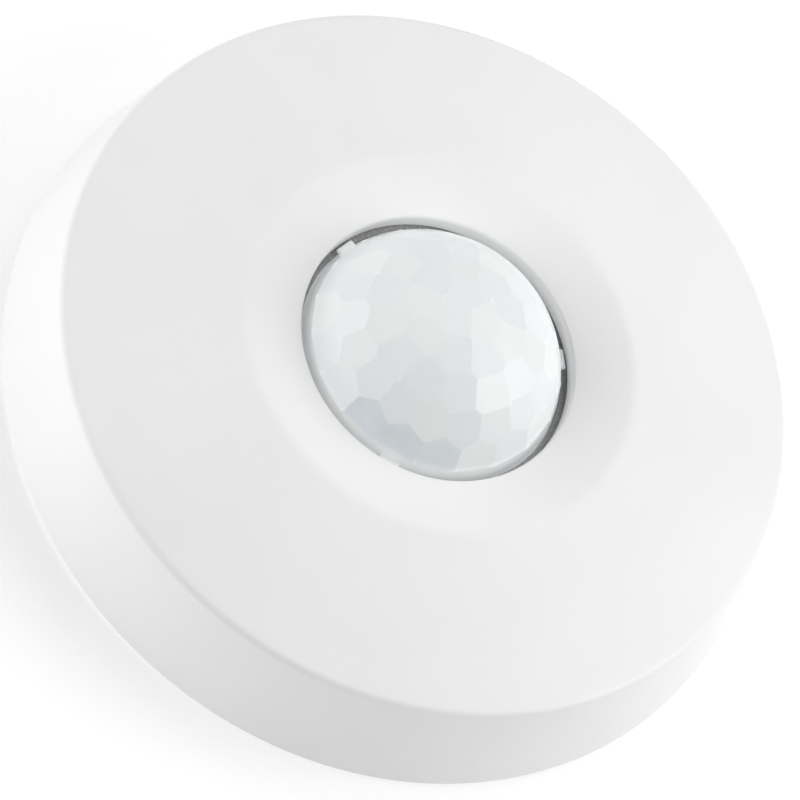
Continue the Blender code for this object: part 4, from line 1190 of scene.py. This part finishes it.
def make_contact(number, side):
    """A coil spring against one battery's flat end, and a leaf against the other battery's nub."""
    spring, leaf = f"contact_spring_{number}", f"contact_plate_{number}"
    low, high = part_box(spring)
    middle, size = middle_and_size(spring)
    start = Vector(((low.x if side < 0 else high.x) - side * SPRING_WIRE, middle.y, middle.z))
    path = helix(start, Vector((-side, 0, 0)), SPRING_RADII, size.x - 2 * SPRING_WIRE, 3)
    piece(tube(f"spring_{number}", path, SPRING_WIRE), "steel", spring)
    middle, size = middle_and_size(leaf)
    blade = block(f"leaf_{number}", size, middle, 0, 0.12 * MM)
    dome = rounded([(0, 0.35 * MM), (1.4 * MM, 0.25 * MM, CRISP_EDGE), (2.2 * MM, 0), (0, 0)], 3)
    dimple = laid_along_x(lathe("dome", dome, 32), middle, flip=middle.x > 0)
    foot_at = middle - Vector((0, 0, size.z / 2 + 0.6 * MM))
    foot = block("foot", (size.x, 3 * MM, 1.6 * MM), foot_at, 0, 0.1 * MM)
    piece(merged(f"contact_leaf_{number}", [blade, dimple, foot]), "tin_plate", leaf)


def four_legs(size, middle, reach, z):
    """A soldered leg at each corner of a switch."""
    return [block("leg", size, (middle.x + i * reach[0], middle.y + j * reach[1], z), 0, 0.04 * MM)
            for i in (-1, 1) for j in (-1, 1)]


def make_push_switch(body_node, plunger_node):
    """A case under a tinned plate, both with an opening for the plunger, on four legs."""
    middle, size = middle_and_size(body_node)
    low, top = middle.z - size.z / 2, middle.z + size.z / 2
    case_size = (size.x, size.y, size.z - 0.3 * MM)
    case = block(f"{body_node}_case", case_size, middle - Vector((0, 0, 0.15 * MM)), 0, CRISP_EDGE)
    opening = drum("opening", SWITCH_OPENING, low - 1 * MM, top + 1 * MM, middle.xy)
    piece(combined(case, "DIFFERENCE", [opening]), "black_plastic", body_node)
    plate_size = (size.x - 0.3 * MM, size.y - 0.3 * MM, 0.25 * MM)
    plate = block("plate", plate_size, (*middle.xy, top - 0.15 * MM), 0, 0.08 * MM)
    combined(plate, "DIFFERENCE", [drum("opening", SWITCH_OPENING, 0, 30 * MM, middle.xy)])
    leg = (0.9 * MM, 0.5 * MM, 0.2 * MM)
    legs = four_legs(leg, middle, (size.x / 2 + 0.3 * MM, 2.2 * MM), low + 0.12 * MM)
    tinned(f"{body_node}_plate", [plate] + legs)
    middle, size = middle_and_size(plunger_node)
    low, top = middle.z - size.z / 2, middle.z + size.z / 2
    button = drum(f"{plunger_node}_button", size.x / 2, low, top, middle.xy, SOFT_EDGE)
    piece(button, "switch_red", plunger_node)


def make_dip_switch():
    """A red case with a slot for each slider, on four legs."""
    middle, size = middle_and_size("dip_switch")
    case = block("dip_case", size, middle, 0, CRISP_EDGE)
    slots = []
    for node in ("dip_slider_1", "dip_slider_2"):
        slider, knob = middle_and_size(node)
        slots.append(block("slot", DIP_SLOT, (slider.x, middle.y, middle.z + 1.1 * MM), 0, 0.1 * MM))
        piece(block(f"{node}_knob", knob, slider, 0, 0.12 * MM), "natural_plastic", node)
    piece(combined(case, "DIFFERENCE", slots), "switch_red", "dip_switch")
    leg = (0.5 * MM, 0.9 * MM, 0.2 * MM)
    legs = four_legs(leg, middle, (DIP_LEG_X, size.y / 2 + 0.35 * MM), ON_BOARD + 0.12 * MM)
    tinned("dip_legs", legs)


# ---------------------------------------------------------------- stage
def camera_axes():
    """The camera's right, up and backward directions."""
    elevation, roll = math.radians(CAMERA_ELEVATION), math.radians(CAMERA_ROLL)
    back = Vector((0, -math.cos(elevation), math.sin(elevation)))
    level = Vector((1, 0, 0))
    upright = back.cross(level)
    right = level * math.cos(roll) + upright * math.sin(roll)
    return right, back.cross(right), back


def make_camera():
    right, up, back = camera_axes()
    camera = bpy.data.objects.new("camera", bpy.data.cameras.new("camera"))
    bpy.context.scene.collection.objects.link(camera)
    camera.data.lens = CAMERA_LENS
    camera.data.clip_start, camera.data.clip_end = CAMERA_CLIP
    aim = Vector((0, 0, CAMERA_AIM_Z)) - right * CAMERA_AIM[0] - up * CAMERA_AIM[1]
    place = Matrix((right, up, back)).transposed().to_4x4()
    camera.matrix_world = Matrix.Translation(aim + back * CAMERA_DISTANCE) @ place
    bpy.context.scene.camera = camera


def make_soft_box(name, toward, power, mirrors):
    """A square soft light that faces the object from a direction along the camera's axes."""
    axes = camera_axes()
    direction = sum((axis * share for axis, share in zip(axes, toward)), Vector()).normalized()
    light = bpy.data.lights.new(name, "AREA")
    light.size = SOFT_BOX_SIZE
    light.energy = power
    obj = new_object(name, light)
    obj.location = direction * SOFT_BOX_DISTANCE
    obj.rotation_euler = direction.to_track_quat("Z", "Y").to_euler()
    obj.visible_camera = False
    obj.visible_glossy = mirrors


def make_floor():
    work = bmesh.new()
    bmesh.ops.create_grid(work, x_segments=1, y_segments=1, size=4)
    floor = from_bmesh("floor", work)
    floor.location.z = -FLOOR_DROP
    n = Nodes("floor_white", Roughness=0.9)
    tone = n.mix(n.noise(0.5), (0.51, 0.51, 0.51), (0.53, 0.53, 0.53))
    n.shader.inputs["Emission Color"].default_value = (1, 1, 1, 1)
    n.shader.inputs["Emission Strength"].default_value = FLOOR_GLOW
    floor.data.materials.append(n.finish(Base_Color=tone))


def make_world():
    world = bpy.data.worlds.new("studio")
    world.use_nodes = True
    background = world.node_tree.nodes["Background"]
    background.inputs["Color"].default_value = (1.0, 1.0, 1.0, 1.0)
    background.inputs["Strength"].default_value = WORLD_GLOW
    bpy.context.scene.world = world
    bpy.context.scene.view_settings.view_transform = "Standard"


make_world()
make_floor()
make_camera()
for light_name, settings in SOFT_BOXES.items():
    make_soft_box(light_name, *settings)
make_front_cover()
make_lens()
make_gasket()
make_retainer()
make_bracket()
make_housing()
make_board()
make_tracks()
make_small_components()
make_pyro_sensor()
make_radio()
make_controller()
make_crystal()
for capacitor in ("capacitor_1", "capacitor_2"):
    make_capacitor(capacitor)
make_led()
make_antenna()
make_battery("battery_1", flip=False)
make_battery("battery_2", flip=True)
make_contact(1, side=-1)
make_contact(2, side=1)
make_push_switch("tamper_switch", "tamper_plunger")
make_push_switch("learn_switch", "learn_plunger")
make_push_switch("rear_tamper_switch", "rear_tamper_plunger")
make_dip_switch()
for number in (1, 2, 3):
    threaded_screw(f"screw_in_board_{number}", f"board_screw_{number}")
    threaded_screw(f"screw_in_retainer_{number}", f"retainer_screw_{number}")
